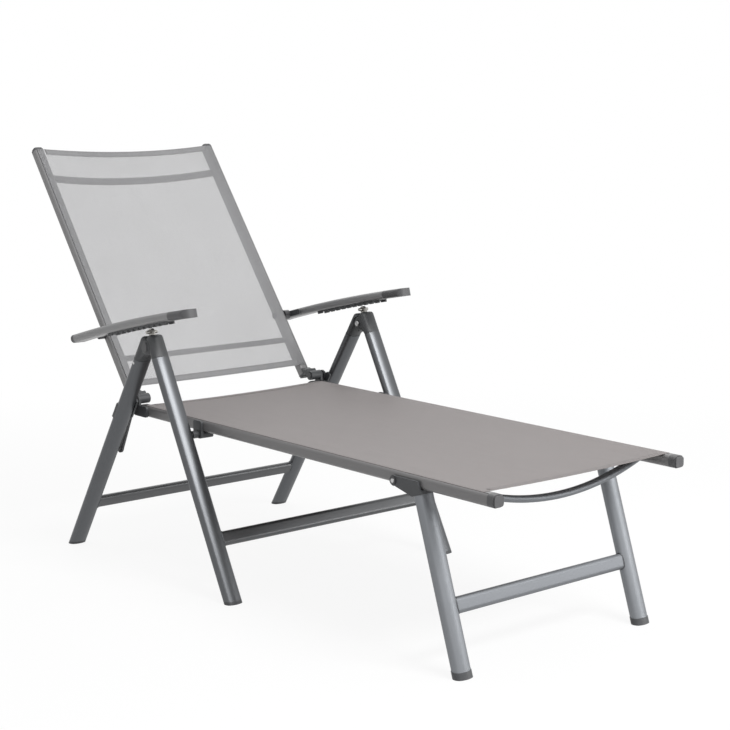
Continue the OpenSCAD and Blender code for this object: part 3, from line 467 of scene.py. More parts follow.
def drawn_grain_group():
    """Lines left by drawing or brushing along Y: noise stretched along Y, as a tone and a height."""
    tree, nodes, start, end = new_group(
        "Drawn grain", {"Vector": None, "Fineness": 1500.0, "Depth": 0.00001}, ["Tone", "Height"])
    stretch = nodes.vector("MULTIPLY", start["Vector"], (1.0, 0.012, 1.0))
    lines = nodes.noise(stretch, start["Fineness"], detail=3.0, roughness=0.65)
    wide = nodes.noise(stretch, nodes.maths("DIVIDE", start["Fineness"], 9.0), detail=2.0)
    both = nodes.plus(nodes.times(lines, 0.65), nodes.times(wide, 0.35))
    nodes.link(nodes.spread(both, 0.86, 1.14), end["Tone"])
    nodes.link(nodes.times(both, start["Depth"]), end["Height"])
    return tree


def handling_group():
    """Soft blotches and small specks left by handling and dust, as a tone and a roughness offset."""
    tree, nodes, start, end = new_group(
        "Handling marks", {"Vector": None, "Amount": 0.5}, ["Tone", "Roughness"])
    blotch = nodes.noise(start["Vector"], 9.0, detail=5.0, roughness=0.6)
    speck = nodes.noise(start["Vector"], 420.0, detail=1.0)
    specks = nodes.times(nodes.maths("SUBTRACT", speck, 0.66, clamp=True), 2.2)
    swing = nodes.times(nodes.maths("SUBTRACT", blotch, 0.5), start["Amount"])
    tone = nodes.plus(nodes.times(swing, 0.3), 1.0)
    nodes.link(nodes.plus(tone, nodes.times(specks, start["Amount"])), end["Tone"])
    nodes.link(nodes.times(swing, 0.25), end["Roughness"])
    return tree


def moulded_group():
    """Fine spark-eroded grain of moulded plastic: two noises at the grain's size, as a height and a tone."""
    tree, nodes, start, end = new_group(
        "Moulded grain", {"Vector": None, "Size": 0.0009, "Depth": 0.00002}, ["Height", "Tone"])
    scale = nodes.maths("DIVIDE", 1.0, start["Size"])
    coarse = nodes.noise(start["Vector"], scale, detail=2.0)
    fine = nodes.noise(start["Vector"], nodes.times(scale, 3.1), detail=1.0)
    grain = nodes.plus(nodes.times(coarse, 0.7), nodes.times(fine, 0.3))
    nodes.link(nodes.times(grain, start["Depth"]), end["Height"])
    nodes.link(nodes.spread(grain, 0.9, 1.1), end["Tone"])
    return tree


def edge_sheen_and_wear_group():
    """Paler edges, a painted edge highlight with a little rubbing: where the rounded normal turns away from
    the face's own normal, broken up by noise.
    """
    tree, nodes, start, end = new_group("Painted edge sheen and rubbing", {"Vector": None, "Radius": 0.0008}, ["Mask"])
    soft = nodes.add("ShaderNodeBevel", samples=4)
    nodes.link(start["Radius"], soft.inputs["Radius"])
    own = nodes.add("ShaderNodeNewGeometry").outputs["Normal"]
    turned = nodes.maths("SUBTRACT", 1.0, nodes.vector("DOT_PRODUCT", soft.outputs["Normal"], own))
    edge = nodes.times(turned, 9.0, clamp=True)
    patchy = nodes.spread(nodes.noise(start["Vector"], 160.0, detail=4.0), 0.1, 1.0)
    nodes.link(nodes.times(edge, patchy), end["Mask"])
    return tree


def woven_group():
    """Plain weave of round coated yarns on a cloth UV in metres.

    Each yarn is a rounded ridge across its width; it rides over and under its neighbours with a cosine along
    its length, whose sign changes from one yarn to the next. Cover is 1 where a yarn lies and 0 in a hole.
    Tone is darker where the yarns lie low and paler on their crowns: painted shade in the weave's hollows.
    """
    tree, nodes, start, end = new_group(
        "Woven mesh", {"Vector": None, "Pitch": 0.002, "Yarn": 0.5}, ["Cover", "Height", "Tone"])
    split = nodes.add("ShaderNodeSeparateXYZ")
    nodes.link(start["Vector"], split.inputs[0])
    place = [nodes.maths("DIVIDE", split.outputs[axis], start["Pitch"]) for axis in (0, 1)]
    number = [nodes.maths("FLOOR", p) for p in place]
    off = [nodes.maths("SUBTRACT", nodes.maths("FRACT", p), 0.5) for p in place]
    ridges = []
    for mine, other in ((0, 1), (1, 0)):
        across = nodes.maths("DIVIDE", nodes.times(off[mine], 2.0), start["Yarn"])
        square = nodes.maths("SUBTRACT", 1.0, nodes.times(across, across))
        ridge = nodes.maths("SQRT", nodes.maths("MAXIMUM", square, 0.0))
        phase = nodes.plus(nodes.maths("SUBTRACT", place[other], 0.5), number[mine])
        wave = nodes.maths("COSINE", nodes.times(phase, math.pi))
        over = nodes.plus(nodes.times(wave, -0.3 if mine else 0.3), 0.6)
        ridges.append(nodes.times(ridge, over))
    top = nodes.maths("MAXIMUM", *ridges)
    cover = nodes.maths("GREATER_THAN", top, 0.02)
    nodes.link(cover, end["Cover"])
    nodes.link(nodes.times(top, nodes.times(start["Pitch"], 0.28)), end["Height"])
    # Paler on the yarns' crowns, darker in the hollows: painted shade and light of the weave.
    nodes.link(nodes.spread(top, 0.72, 1.18), end["Tone"])
    return tree


def shared(name, maker):
    """A node group built once."""
    return bpy.data.node_groups.get(name) or maker()


def new_material(name):
    """An emptied material with its helper, Principled shader and object coordinates."""
    material = bpy.data.materials.new(name)
    material.use_nodes = True
    tree = material.node_tree
    tree.nodes.clear()
    nodes = Nodes(tree)
    surface = nodes.add("ShaderNodeBsdfPrincipled")
    end = nodes.add("ShaderNodeOutputMaterial")
    nodes.link(surface.outputs[0], end.inputs["Surface"])
    place = nodes.add("ShaderNodeTexCoord").outputs["Object"]
    return material, nodes, surface.inputs, place


def turned(nodes, place, lean=0.0, across=False):
    """Object coordinates turned so that a piece's length runs along Y."""
    mapping = nodes.add("ShaderNodeMapping", vector_type="TEXTURE")
    mapping.inputs["Rotation"].default_value = (lean, 0, math.pi / 2 if across else 0)
    nodes.link(place, mapping.inputs["Vector"])
    return mapping.outputs[0]


def finish_with_marks_and_edge_sheen(nodes, surface, place, grain, base, lighter, rough, handling, edge, edge_sheen_share):
    """Feeds colour, roughness and normal from a grain, handling marks and paler edges, a painted edge
    highlight with a little rubbing.
    """
    marks = nodes.group(shared("Handling marks", handling_group), Vector=place, Amount=handling).outputs
    edge_sheen_and_wear = nodes.group(shared("Painted edge sheen and rubbing", edge_sheen_and_wear_group), Vector=place, Radius=edge).outputs
    # Base colour turned paler on the edges: a painted edge highlight, with a little rubbing.
    colour_with_edge_sheen = nodes.mix(nodes.times(edge_sheen_and_wear["Mask"], edge_sheen_share), base, lighter)
    nodes.link(nodes.tint(colour_with_edge_sheen, nodes.times(grain["Tone"], marks["Tone"])), surface["Base Color"])
    nodes.link(nodes.plus(marks["Roughness"], rough, clamp=True), surface["Roughness"])
    nodes.link(nodes.bump(grain["Height"]), surface["Normal"])


def drawn_metal(name, base, roughness, metallic=0.9, lean=0.0, across=False, depth=6e-6, coat=0.0):
    """Extruded metal with drawing lines along the piece, handling marks and slightly paler edges, a painted
    edge highlight with a little rubbing.
    """
    material, nodes, surface, place = new_material(name)
    base = tuple(base)
    grain = nodes.group(shared("Drawn grain", drawn_grain_group),
                        Vector=turned(nodes, place, lean, across), Fineness=1700.0, Depth=depth)
    # Paler colour for the edges: a painted edge highlight, with a little rubbing.
    lighter = tuple(min(1, c * 1.5 + 0.04) for c in base)
    rough = nodes.times(grain.outputs["Tone"], roughness)
    finish_with_marks_and_edge_sheen(nodes, surface, place, grain.outputs, base, lighter, rough, handling=0.35, edge=0.7 * MM,
              edge_sheen_share=0.35)
    surface["Metallic"].default_value = metallic
    surface["Coat Weight"].default_value = coat
    return material


def moulded_plastic(name, base, settings, depth=2.2e-5):
    """Grained plastic with handling marks and paler edges, a painted edge highlight with a little rubbing."""
    material, nodes, surface, place = new_material(name)
    base = tuple(base)
    grain = nodes.group(shared("Moulded grain", moulded_group),
                        Vector=place, Size=settings.grain, Depth=depth)
    # Paler colour for the edges: a painted edge highlight, with a little rubbing.
    lighter = tuple(c * 2.4 + 0.03 for c in base)
    finish_with_marks_and_edge_sheen(nodes, surface, place, grain.outputs, base, lighter, settings.roughness, handling=0.6,
              edge=0.9 * MM, edge_sheen_share=0.5)
    return material


def woven_cloth(name, base, pitch, yarn, open_weave=True):
    """Woven coated yarns on the cloth's own UV, open in the holes, or doubled so that nothing shows, with
    painted shade in its holes.
    """
    material, nodes, surface, place = new_material(name)
    base = tuple(base)
    cloth = nodes.add("ShaderNodeUVMap", uv_map="cloth").outputs[0]
    weave = nodes.group(shared("Woven mesh", woven_group), Vector=cloth, Pitch=pitch, Yarn=yarn)
    marks = nodes.group(shared("Handling marks", handling_group), Vector=place, Amount=0.7)
    stretch = nodes.vector("MULTIPLY", cloth, (1.0, 0.05, 1.0))
    streaks = nodes.noise(stretch, 130.0, detail=4.0, roughness=0.7)
    # The weave's tone carries painted shade in its hollows; the marks' tone is handling.
    tone = nodes.times(weave.outputs["Tone"], marks.outputs["Tone"])
    tone = nodes.times(tone, nodes.spread(streaks, 0.87, 1.13))
    shown = base
    if not open_weave:
        # A doubled cloth gets darker holes between its yarns: painted shade.
        painted_hole_shade = tuple(c * 0.55 for c in base)
        shown = nodes.mix(weave.outputs["Cover"], painted_hole_shade, base)
    nodes.link(nodes.tint(shown, tone), surface["Base Color"])
    nodes.link(nodes.plus(marks.outputs["Roughness"], 0.62, clamp=True), surface["Roughness"])
    nodes.link(nodes.bump(weave.outputs["Height"], 0.8), surface["Normal"])
    surface["Specular IOR Level"].default_value = 0.35
    surface["Sheen Weight"].default_value = 0.06
    if open_weave:
        nodes.link(weave.outputs["Cover"], surface["Alpha"])
    return material


def thread_material(settings):
    """Twisted sewing thread: slanted fine ridges."""
    material, nodes, surface, place = new_material("Sewing thread")
    twist = nodes.noise(place, 2600.0, detail=2.0)
    tone = nodes.spread(twist, 0.75, 1.25)
    nodes.link(nodes.tint(tuple(settings.thread_colour), tone), surface["Base Color"])
    nodes.link(nodes.bump(nodes.times(twist, 0.00008)), surface["Normal"])
    surface["Roughness"].default_value = 0.7
    return material


# The slings

def sling_section(settings, half_span, edge_x, sag):
    """Cloth's path across, from the middle out: a parabola that rises to the rail, the rail's flat face, a
    quarter round into the groove, straight down its inner wall, then a loop round the edge bead. Returns x
    and height."""
    bend = settings.bend_radius
    wall_x = edge_x - settings.slot_shift
    lift = settings.cloth_thickness / 2
    bead = settings.bead_radius
    x = half_span * np.linspace(0, 1, 40)
    span = np.stack([x, sag * (x * x / half_span ** 2 - 1)], axis=1)
    flat = np.stack([np.linspace(half_span, wall_x - bend, 5)[1:], np.zeros(4)], axis=1)
    turn = np.linspace(0, math.pi / 2, 7)[1:]
    over = np.stack([wall_x - bend + bend * np.sin(turn), bend * np.cos(turn) - bend], axis=1)
    drop_to = -settings.groove_depth + bead * BEAD_DROP_SHARE
    down = np.stack([np.full(2, wall_x), np.linspace(-bend, drop_to, 3)[1:]], axis=1)
    angle = np.linspace(*BEAD_LOOP, 16)[1:]
    loop = np.stack([edge_x + bead * np.sin(angle), -settings.groove_depth + bead * np.cos(angle)], axis=1)
    out = np.concatenate([span, flat, over, down, loop])
    out[:, 1] += lift
    return out


def sling_grid(settings, place, start, end_of, half_span, edge_x, face, sag, rows):
    """Grid of a stretched sling: the section carried from start to end_of(x) along the place's frame.

    The sag eases near both hems, where short ripples run in from the grooves and die out towards the middle.
    Returns the middle surface's points, the unit normals and the cloth UV in metres.
    """
    half = sling_section(settings, half_span, edge_x, sag)
    section = np.concatenate([half[:0:-1] * [-1, 1], half])
    across = arc_length(section)
    run = np.linspace(0, 1, rows)
    run = run - ROW_SHIFT_SHARE * np.sin(2 * math.pi * run)
    x = np.broadcast_to(section[:, :1], (len(section), rows))
    top = end_of(np.abs(section[:, 0]))[:, None]
    along = start + (top - start) * run
    near_end = np.exp(-(along - start) / RIPPLE_FADE) + np.exp(-(top - along) / RIPPLE_FADE)
    free = np.clip(1 - np.abs(x) / half_span, 0, 1)
    over_span = np.abs(x) < half_span
    eased = np.where(over_span, section[:, 1:] * (1 - HEM_EASE_SHARE * near_end), section[:, 1:])
    fading = np.exp(-free / RIPPLE_REACH_SHARE) * np.minimum(free * 12, 1)
    wave = np.sin(x * 2 * math.pi / RIPPLE_LENGTH) * fading
    height = eased + settings.ripple * near_end * wave * over_span
    points = place.put(x, along, face + height)
    normal = np.cross(np.gradient(points, axis=0), np.gradient(points, axis=1))
    normal /= np.linalg.norm(normal, axis=-1, keepdims=True)
    uv = np.stack(np.broadcast_arrays(across[:, None], along - start), axis=-1)
    return points, normal, uv


def shell_mesh(name, points, normal, thickness, uv):
    """Closes a middle surface into a thin shell: out on one face, back on the other, pinched at both ends."""
    face = points + normal * thickness / 2
    back = points - normal * thickness / 2
    ring = np.concatenate([face, back[::-1]], axis=0)
    ring_uv = np.concatenate([uv, uv[::-1]], axis=0)
    pinch = np.concatenate([points, points[::-1]], axis=0)
    ring = np.concatenate([pinch[:, :1], ring, pinch[:, -1:]], axis=1)
    ring_uv = np.concatenate([ring_uv[:, :1], ring_uv, ring_uv[:, -1:]], axis=1)
    mesh = grid_mesh(name, [ring], round_u=True, uv=ring_uv)
    merge_doubles(mesh, 1e-6)
    return mesh


def rail_faces(place, rail, sling):
    """A rail's inner side, outer side and top face, and where its CAD sling starts and ends."""
    low, high = place.box(rail)
    sling_low, sling_high = place.box(sling)
    return low[0], high[0], high[2], sling_low[1], sling_high[1]


def level(height):
    """A sling's edge that lies at one height all across."""
    return lambda x: np.full_like(x, height)


class LOUNGER_OT_seat_sling(Operator):
    """Weaves the seat's sling between the seat rails"""

    bl_idname = "lounger.seat_sling"
    bl_label = "Seat sling"

    def execute(self, context):
        settings = context.scene.lounger_slings
        inner, outer, face, start, end = rail_faces(SEAT, "seat_rail_left", "seat_sling")
        points, normal, uv = sling_grid(
            settings, SEAT, start, level(end), inner + RAIL_CORNER, outer - GROOVE_INSET, face,
            settings.seat_sag, 150)
        mesh = shell_mesh("seat_cloth", points, normal, settings.cloth_thickness, uv)
        cloth = woven_cloth("Seat cloth", settings.seat_colour, settings.pitch, settings.seat_yarn)
        piece = add_piece("seat_cloth", mesh, cloth, "seat_frame")
        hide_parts("seat_sling")
        sling = (SEAT, inner, face, settings.seat_sag, "seat_frame", "seat_mesh", settings.seat_colour)
        hems = [
            hem("seat_front_hem", level(start), 1, *sling),
            hem("seat_rear_hem", level(end), -1, *sling),
        ]
        return {"FINISHED"}


class LOUNGER_OT_back_sling(Operator):
    """Weaves the backrest's open sling between the back rails"""

    bl_idname = "lounger.back_sling"
    bl_label = "Back sling"

    def execute(self, context):
        settings = context.scene.lounger_slings
        inner, outer, face, start, end = rail_faces(BACK, "back_rail_left", "back_sling")
        dip = settings.top_dip
        radius = (inner * inner + dip * dip) / (2 * dip)

        def top(x):
            """Top edge: an arc of a circle that hangs between the corners."""
            return np.minimum(end, end - dip + radius - np.sqrt(radius * radius - np.minimum(x, inner) ** 2))

        points, normal, uv = sling_grid(
            settings, BACK, start, top, inner + RAIL_CORNER, outer - GROOVE_INSET, face,
            settings.back_sag, 110)
        mesh = shell_mesh("back_cloth", points, normal, settings.back_thickness, uv)
        cloth = woven_cloth("Back cloth", settings.back_colour, settings.pitch, settings.back_yarn)
        piece = add_piece("back_cloth", mesh, cloth, "backrest")
        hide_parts("back_sling")
        sling = (BACK, inner, face, settings.back_sag, "backrest", "back_mesh", settings.hem_colour)
        hems = [
            hem("back_top_hem", top, -1, *sling),
            hem("back_bottom_hem", level(start), 1, *sling),
        ]
        return {"FINISHED"}


def hem(name, edge_of, inward, place, inner, face, sag, body, slot, base):
    """Doubled end of a sling with its stitching. The section is a flat oval, as wide as the hem, carried
    across from rail to rail along the sling's edge; stitches run in two rows on both faces."""
    settings = bpy.context.scene.lounger_hems
    slings = bpy.context.scene.lounger_slings
    x = np.linspace(-inner, inner, 121)
    edge = edge_of(np.abs(x)) + inward * settings.width / 2
    eased = (1 - HEM_EASE_SHARE) * sag * (x * x / (inner + RAIL_CORNER) ** 2 - 1)
    height = face + slings.cloth_thickness / 2 + eased
    turn = full_turn(24)
    wide = np.sign(np.cos(turn)) * np.abs(np.cos(turn)) ** HEM_EDGE_POWER * settings.width / 2
    thick = np.sin(turn) * settings.thickness / 2
    along = edge[:, None] + wide
    points = place.put(x[:, None], along, height[:, None] + thick)
    uv = np.stack(np.broadcast_arrays(x[:, None], along), axis=-1)
    ends = np.broadcast_to(points[[0, -1]].mean(axis=1, keepdims=True), (2, points.shape[1], 3))
    points = np.concatenate([ends[:1], points, ends[1:]])
    uv = np.concatenate([uv[:1], uv, uv[-1:]])
    mesh = grid_mesh(name, [points], round_v=True, uv=uv)
    merge_doubles(mesh, 1e-6)
    doubled = woven_cloth(name.replace("_", " "), base, slings.pitch, HEM_YARN_SHARE, open_weave=False)
    band = add_piece(name, mesh, doubled, body)
    stitches = add_piece(
        name + "_stitches", stitch_mesh(name, place, settings, x, edge, height, inward),
        thread_material(settings), body)
    return band, stitches


def stitch_mesh(name, place, settings, x, edge, height, inward):
    """Rows of stitches: each is a short arc of thread that dips into the cloth at both ends."""
    step = settings.stitch_length + settings.stitch_gap
    starts = np.arange(x[0] + step, x[-1] - step, step)
    share_along = np.linspace(0, 1, 5)
    turn = full_turn(5)
    ring = np.cos(turn)[:, None] * place.along + np.sin(turn)[:, None] * place.off
    grids = []
    for row in STITCH_ROW_SHARES:
        for face in (1, -1):
            sx = starts[:, None] + share_along * settings.stitch_length
            along = np.interp(sx, x, edge) + inward * row * settings.width
            bulge = settings.thread_radius * (STITCH_RISE * np.sin(math.pi * share_along) - STITCH_SINK)
            off = np.interp(sx, x, height) + face * (settings.thickness / 2 * STITCH_SEAT_SHARE + bulge)
            path = place.put(sx, along, off)
            swell = (1 - THREAD_END_SHARE) * np.sin(math.pi * share_along) ** 0.5
            fat = settings.thread_radius * (THREAD_END_SHARE + swell)
            grids.append(path[:, :, None] + fat[None, :, None, None] * ring)
    return grid_mesh(name + "_stitches", np.concatenate(grids), round_v=True)


# Welds and domed heads

def weld_path(place, node, half_x, side_radius, samples=72):
    """Seam of a crossbar on a leg's round side: the bar's oval outline, pushed in X onto the leg's section.

    Along the leg the oval has straight sides and round ends; off the leg's middle plane the leg's round side
    falls back by its radius less the circle's height there."""
    low, high = place.box(node)
    middle = (low + high) / 2
    tall, thick = high[1] - low[1], high[2] - low[2]
    turn = full_turn(samples)
    end = thick / 2
    along = (tall / 2 - end) * np.clip(np.cos(turn) * SEAM_STEEPNESS, -1, 1) + end * np.cos(turn)
    off = end * np.sin(turn)
    inset = side_radius - np.sqrt(side_radius ** 2 - off ** 2)
    return place.put(half_x + inset, middle[1] + along, middle[2] + off)


def weld_mesh(name, paths, radius):
    """Beads along closed paths, swollen in small overlapping ripples."""
    grids = []
    for path in paths:
        step = arc_length(path)
        fat = radius * (1 + WELD_SWELL_SHARE * np.abs(np.sin(step / WELD_RIPPLE * math.pi)))
        closed = np.concatenate([path[-2:], path, path[:2]])
        fat = np.concatenate([fat[-2:], fat, fat[:2]])
        grids.append(tube_grid(closed, fat, 10)[2:-2])
    mesh = grid_mesh(name, grids, round_u=True, round_v=True)
    merge_doubles(mesh, 1e-7)
    return mesh


class LOUNGER_OT_welds(Operator):
    """Runs weld beads round the crossbars' ends"""

    bl_idname = "lounger.welds"
    bl_label = "Weld beads"

    def execute(self, context):
        settings = context.scene.lounger_metals
        legs = {
            "front": (FRONT_LEGS, "front_legs", "front_crossbar", "front_leg_left"),
            "rear": (REAR_LEGS, "rear_legs", "rear_crossbar", "rear_leg_left"),
            "foot": (FOOT_LEGS, "foot_legs", "foot_crossbar", "foot_leg_left"),
        }
        for name, (place, body, bar, leg) in legs.items():
            right = weld_path(place, bar, place.box(leg)[0][0], LEG_SIDE_RADIUS)
            left = right * [-1, 1, 1]
            mesh = weld_mesh(name + "_welds", [right, left], settings.weld_radius)
            bead = drawn_metal(name + " weld", settings.leg_colour, 0.45, lean=place.lean)
            add_piece(name + "_crossbar_welds", mesh, bead, body)
        return {"FINISHED"}


def dome_mesh(name, centres, direction, radius, height, recess):
    """Domed heads: a profile of rim, dome and round recess turned about X. Each centre gets one.

    The dome is the part of an ellipse from its rim to the steepness where the recess's lip starts."""
    rim = [(radius, -HEAD_SKIRT_SHARE * height)]
    dome = [(radius * math.cos(a), height * math.sin(a) / math.sin(DOME_STEEPEST))
            for a in np.linspace(0, DOME_STEEPEST, 9)]
    lip = (dome[-1][0] * LIP_SHARES[0], height * LIP_SHARES[1])
    floor_radius, floor = recess * RECESS_FLOOR_SHARES[0], height * RECESS_FLOOR_SHARES[1]
    well = [lip, (recess, height * RECESS_EDGE_SHARE), (floor_radius, floor), (1e-6, floor)]
    profile = np.array(rim + dome + well)
    turn = full_turn(40)
    grids = []
    for centre in centres:
        way = direction * np.sign(centre[0])
        x = centre[0] + way * profile[:, 1, None] + 0 * turn
        y = centre[1] + profile[:, 0, None] * np.cos(turn)
        z = centre[2] + profile[:, 0, None] * np.sin(turn)
        grids.append(np.stack([x, y, z], axis=-1))
    mesh = grid_mesh(name, grids, round_v=True)
    merge_doubles(mesh, SAME_POINT)
    return mesh


class LOUNGER_OT_bolt_heads(Operator):
    """Domes the heads of the foot legs' rivets and the frame's bolts, and adds the rear knuckles' rivets"""

    bl_idname = "lounger.bolt_heads"
    bl_label = "Bolt heads"

    def execute(self, context):
        settings = context.scene.lounger_metals
        steel = drawn_metal("Bright heads", settings.bolt_colour, 0.28, metallic=1.0)
        heads = {
            "foot_leg_rivets": ("foot_legs", 1, FOOT_DOME_SEAT),
            "frame_pivot_bolts": ("front_legs", -1, BOLT_DOME_SEAT),
            "knuckle_bolts": ("rear_legs", -1, BOLT_DOME_SEAT),
        }
        for node, (body, way, radius) in heads.items():
            low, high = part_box(node)
            points = vertices_of(node)
            right = points[points[:, 0] > 0]
            end_x = right[:, 0].max() if way > 0 else right[:, 0].min()
            y, z = (low[1] + high[1]) / 2, (low[2] + high[2]) / 2
            centres = [np.array([end_x, y, z]), np.array([-end_x, y, z])]
            mesh = dome_mesh(
                node + "_domes", centres, way, radius * DOME_RADIUS_SHARE, settings.dome_height,
                radius * DOME_RECESS_SHARE)
            add_piece(node + "_domes", mesh, steel, body)
        low, high = REAR_LEGS.box("rear_leg_right")
        below, middle = high[1] - settings.rivet_drop, (low[2] + high[2]) / 2
        centres = [REAR_LEGS.put(x, below, middle) for x in (low[0], -low[0])]
        mesh = dome_mesh(
            "knuckle_rivets", centres, 1, settings.rivet_radius,
            settings.rivet_radius * RIVET_HEIGHT_SHARE, settings.rivet_radius * RIVET_RECESS_SHARE)
        add_piece("knuckle_rivets", mesh, steel, "rear_legs")
        return {"FINISHED"}


# Finishes of the CAD nodes

class LOUNGER_OT_finishes(Operator):
    """Gives every tube, fitting and bolt its finish"""

    bl_idname = "lounger.finishes"
    bl_label = "Finishes"

    def execute(self, context):
        metal = context.scene.lounger_metals
        plastic = context.scene.lounger_plastics
        leg, rail = metal.leg_colour, metal.rail_colour
        foot, rough = metal.foot_leg_painted_light_colour, metal.leg_roughness
        black = moulded_plastic("Dark moulded plastic", plastic.black, plastic)
        grey = moulded_plastic("Grey moulded plastic", plastic.grey, plastic)
        dark = drawn_metal("Dark coated steel", metal.dark_colour, 0.42, metallic=0.2, coat=0.2)
        bright = drawn_metal("Zinc plated steel", metal.bolt_colour, 0.3, metallic=1.0)
        bars = drawn_metal("Anodised frame crossbars", metal.bar_colour, rough, across=True)
        finishes = {
            drawn_metal("Anodised front legs", leg, rough, lean=FRONT_LEGS.lean): ["front_leg_*"],
            drawn_metal("Anodised rear legs", leg, rough, lean=REAR_LEGS.lean): ["rear_leg_*"],
            # Paler copy of the legs' anodising: painted light on the foot legs.
            drawn_metal("Anodised foot legs", foot, rough * 1.2, lean=FOOT_LEGS.lean):
                ["foot_leg_left", "foot_leg_right"],
            bars: ["front_crossbar", "rear_crossbar"],
            # The same painted light on the foot crossbar and the bow bar.
            drawn_metal("Anodised foot crossbar", foot, rough * 1.45, across=True):
                ["foot_crossbar", "foot_bow_bar"],
            drawn_metal("Coated cross tubes", rail, 0.42, metallic=0.3, across=True, coat=0.15):
                ["seat_rear_bar", "head_bow_bar", "lumbar_bar"],
            # Darker copy of the rails' coating: painted shade on the seat rails.
            drawn_metal("Coated seat rails", metal.seat_rail_shaded_colour, 0.4, metallic=0.3, coat=0.15):
                ["seat_rail_*"],
            drawn_metal("Coated back rails", rail, 0.4, metallic=0.3, lean=BACK.lean, coat=0.15):
                ["back_rail_*"],
            drawn_metal("Coated armrests", metal.arm_colour, 0.4, metallic=0.3, coat=0.15):
                ["armrest_left", "armrest_right"],
            drawn_metal("Armrest posts", metal.post_colour, 0.4, lean=FRONT_LEGS.lean):
                ["armrest_post_*"],
            bright: ["frame_pivot_bolts", "knuckle_bolts", "link_rivets"],
            dark: ["link_left", "link_right", "back_hinge_bolts", "arm_pivot_bolts", "foot_leg_rivets"],
            grey: ["rail_foot_caps", "back_top_caps", "armrest_front_cap_*", "armrest_rear_caps",
                   "knuckle_covers"],
        }
        chosen = {}
        for material, patterns in finishes.items():
            for pattern in patterns:
                for node in matching(pattern):
                    chosen[node] = material
        for node, piece in frame["nodes"].items():
            piece.data.materials.clear()
            piece.data.materials.append(chosen.get(node, black))
            if "_knuckle_" in node:
                soften(piece, plastic.rounding)
            else:
                shade_smooth(piece)
        return {"FINISHED"}


def shade_smooth(piece):
    """Joins the faces' corners and shades them round, but for the sharp edges."""
    piece.data.polygons.foreach_set("use_smooth", np.ones(len(piece.data.polygons), bool))
    piece.modifiers.new("Join", "WELD").merge_threshold = SAME_POINT
    piece.modifiers.new("Sharp edges", "EDGE_SPLIT").split_angle = SHARP_EDGE


def soften(piece, rounding):
    """Rounds a moulded fitting all over: even voxels, relaxed until edges have about the rounding's radius.

    Each relaxing step moves a point halfway to its neighbours' mean and so spreads by half a voxel, and the
    spreads add up as squares: steps = (rounding / voxel) ** 2."""
    piece.modifiers.new("Join", "WELD").merge_threshold = SAME_POINT
    remesh = piece.modifiers.new("Voxels", "REMESH")
    remesh.mode, remesh.voxel_size, remesh.use_smooth_shade = "VOXEL", KNUCKLE_VOXEL, True
    relax = piece.modifiers.new("Relax", "SMOOTH")
    relax.factor, relax.iterations = 0.5, round((rounding / KNUCKLE_VOXEL) ** 2)


def matching(pattern):
    """Names of the CAD nodes that fit a pattern with at most one star."""
    head, star, tail = pattern.partition("*")
    if not star:
        return [pattern]
    return [n for n in frame["nodes"] if n.startswith(head) and n.endswith(tail)]


# The stage

class LOUNGER_OT_stage(Operator):
    """Sets the camera, the lamps and a pale floor"""

    bl_idname = "lounger.stage"
    bl_label = "Studio"

    def execute(self, context):
        settings = context.scene.lounger_stage
        scene = context.scene
        add_camera(scene, settings)
        add_floor(scene, settings)
        add_world(scene, settings)
        middle = (np.array(CAD_BOX[0]) + np.array(CAD_BOX[1])) / 2
        for name, (offset, sides, power) in LAMPS.items():
            add_lamp(scene, name, middle, offset, sides, power)
        scene.view_settings.view_transform = "Standard"
        return {"FINISHED"}


def add_camera(scene, settings):
    """Camera at its place, its back turned by the azimuth and elevation, then rolled."""
    data = bpy.data.cameras.new("Camera")
    data.lens = settings.lens
    data.sensor_width = SENSOR_WIDTH
    camera = bpy.data.objects.new("Camera", data)
    scene.collection.objects.link(camera)
    camera.location = settings.eye
    camera.rotation_mode = "XYZ"
    camera.rotation_euler = (math.pi / 2 - settings.elevation, settings.roll, settings.azimuth)
    scene.camera = camera


def seen_directly(nodes):
    """1 where the camera, a reflection or glass sees a surface, and 0 where it lights the object."""
    light = nodes.add("ShaderNodeLightPath").outputs
    mirrored = nodes.maths("MAXIMUM", light["Is Glossy Ray"], light["Is Transmission Ray"])
    return nodes.maths("MAXIMUM", light["Is Camera Ray"], mirrored)


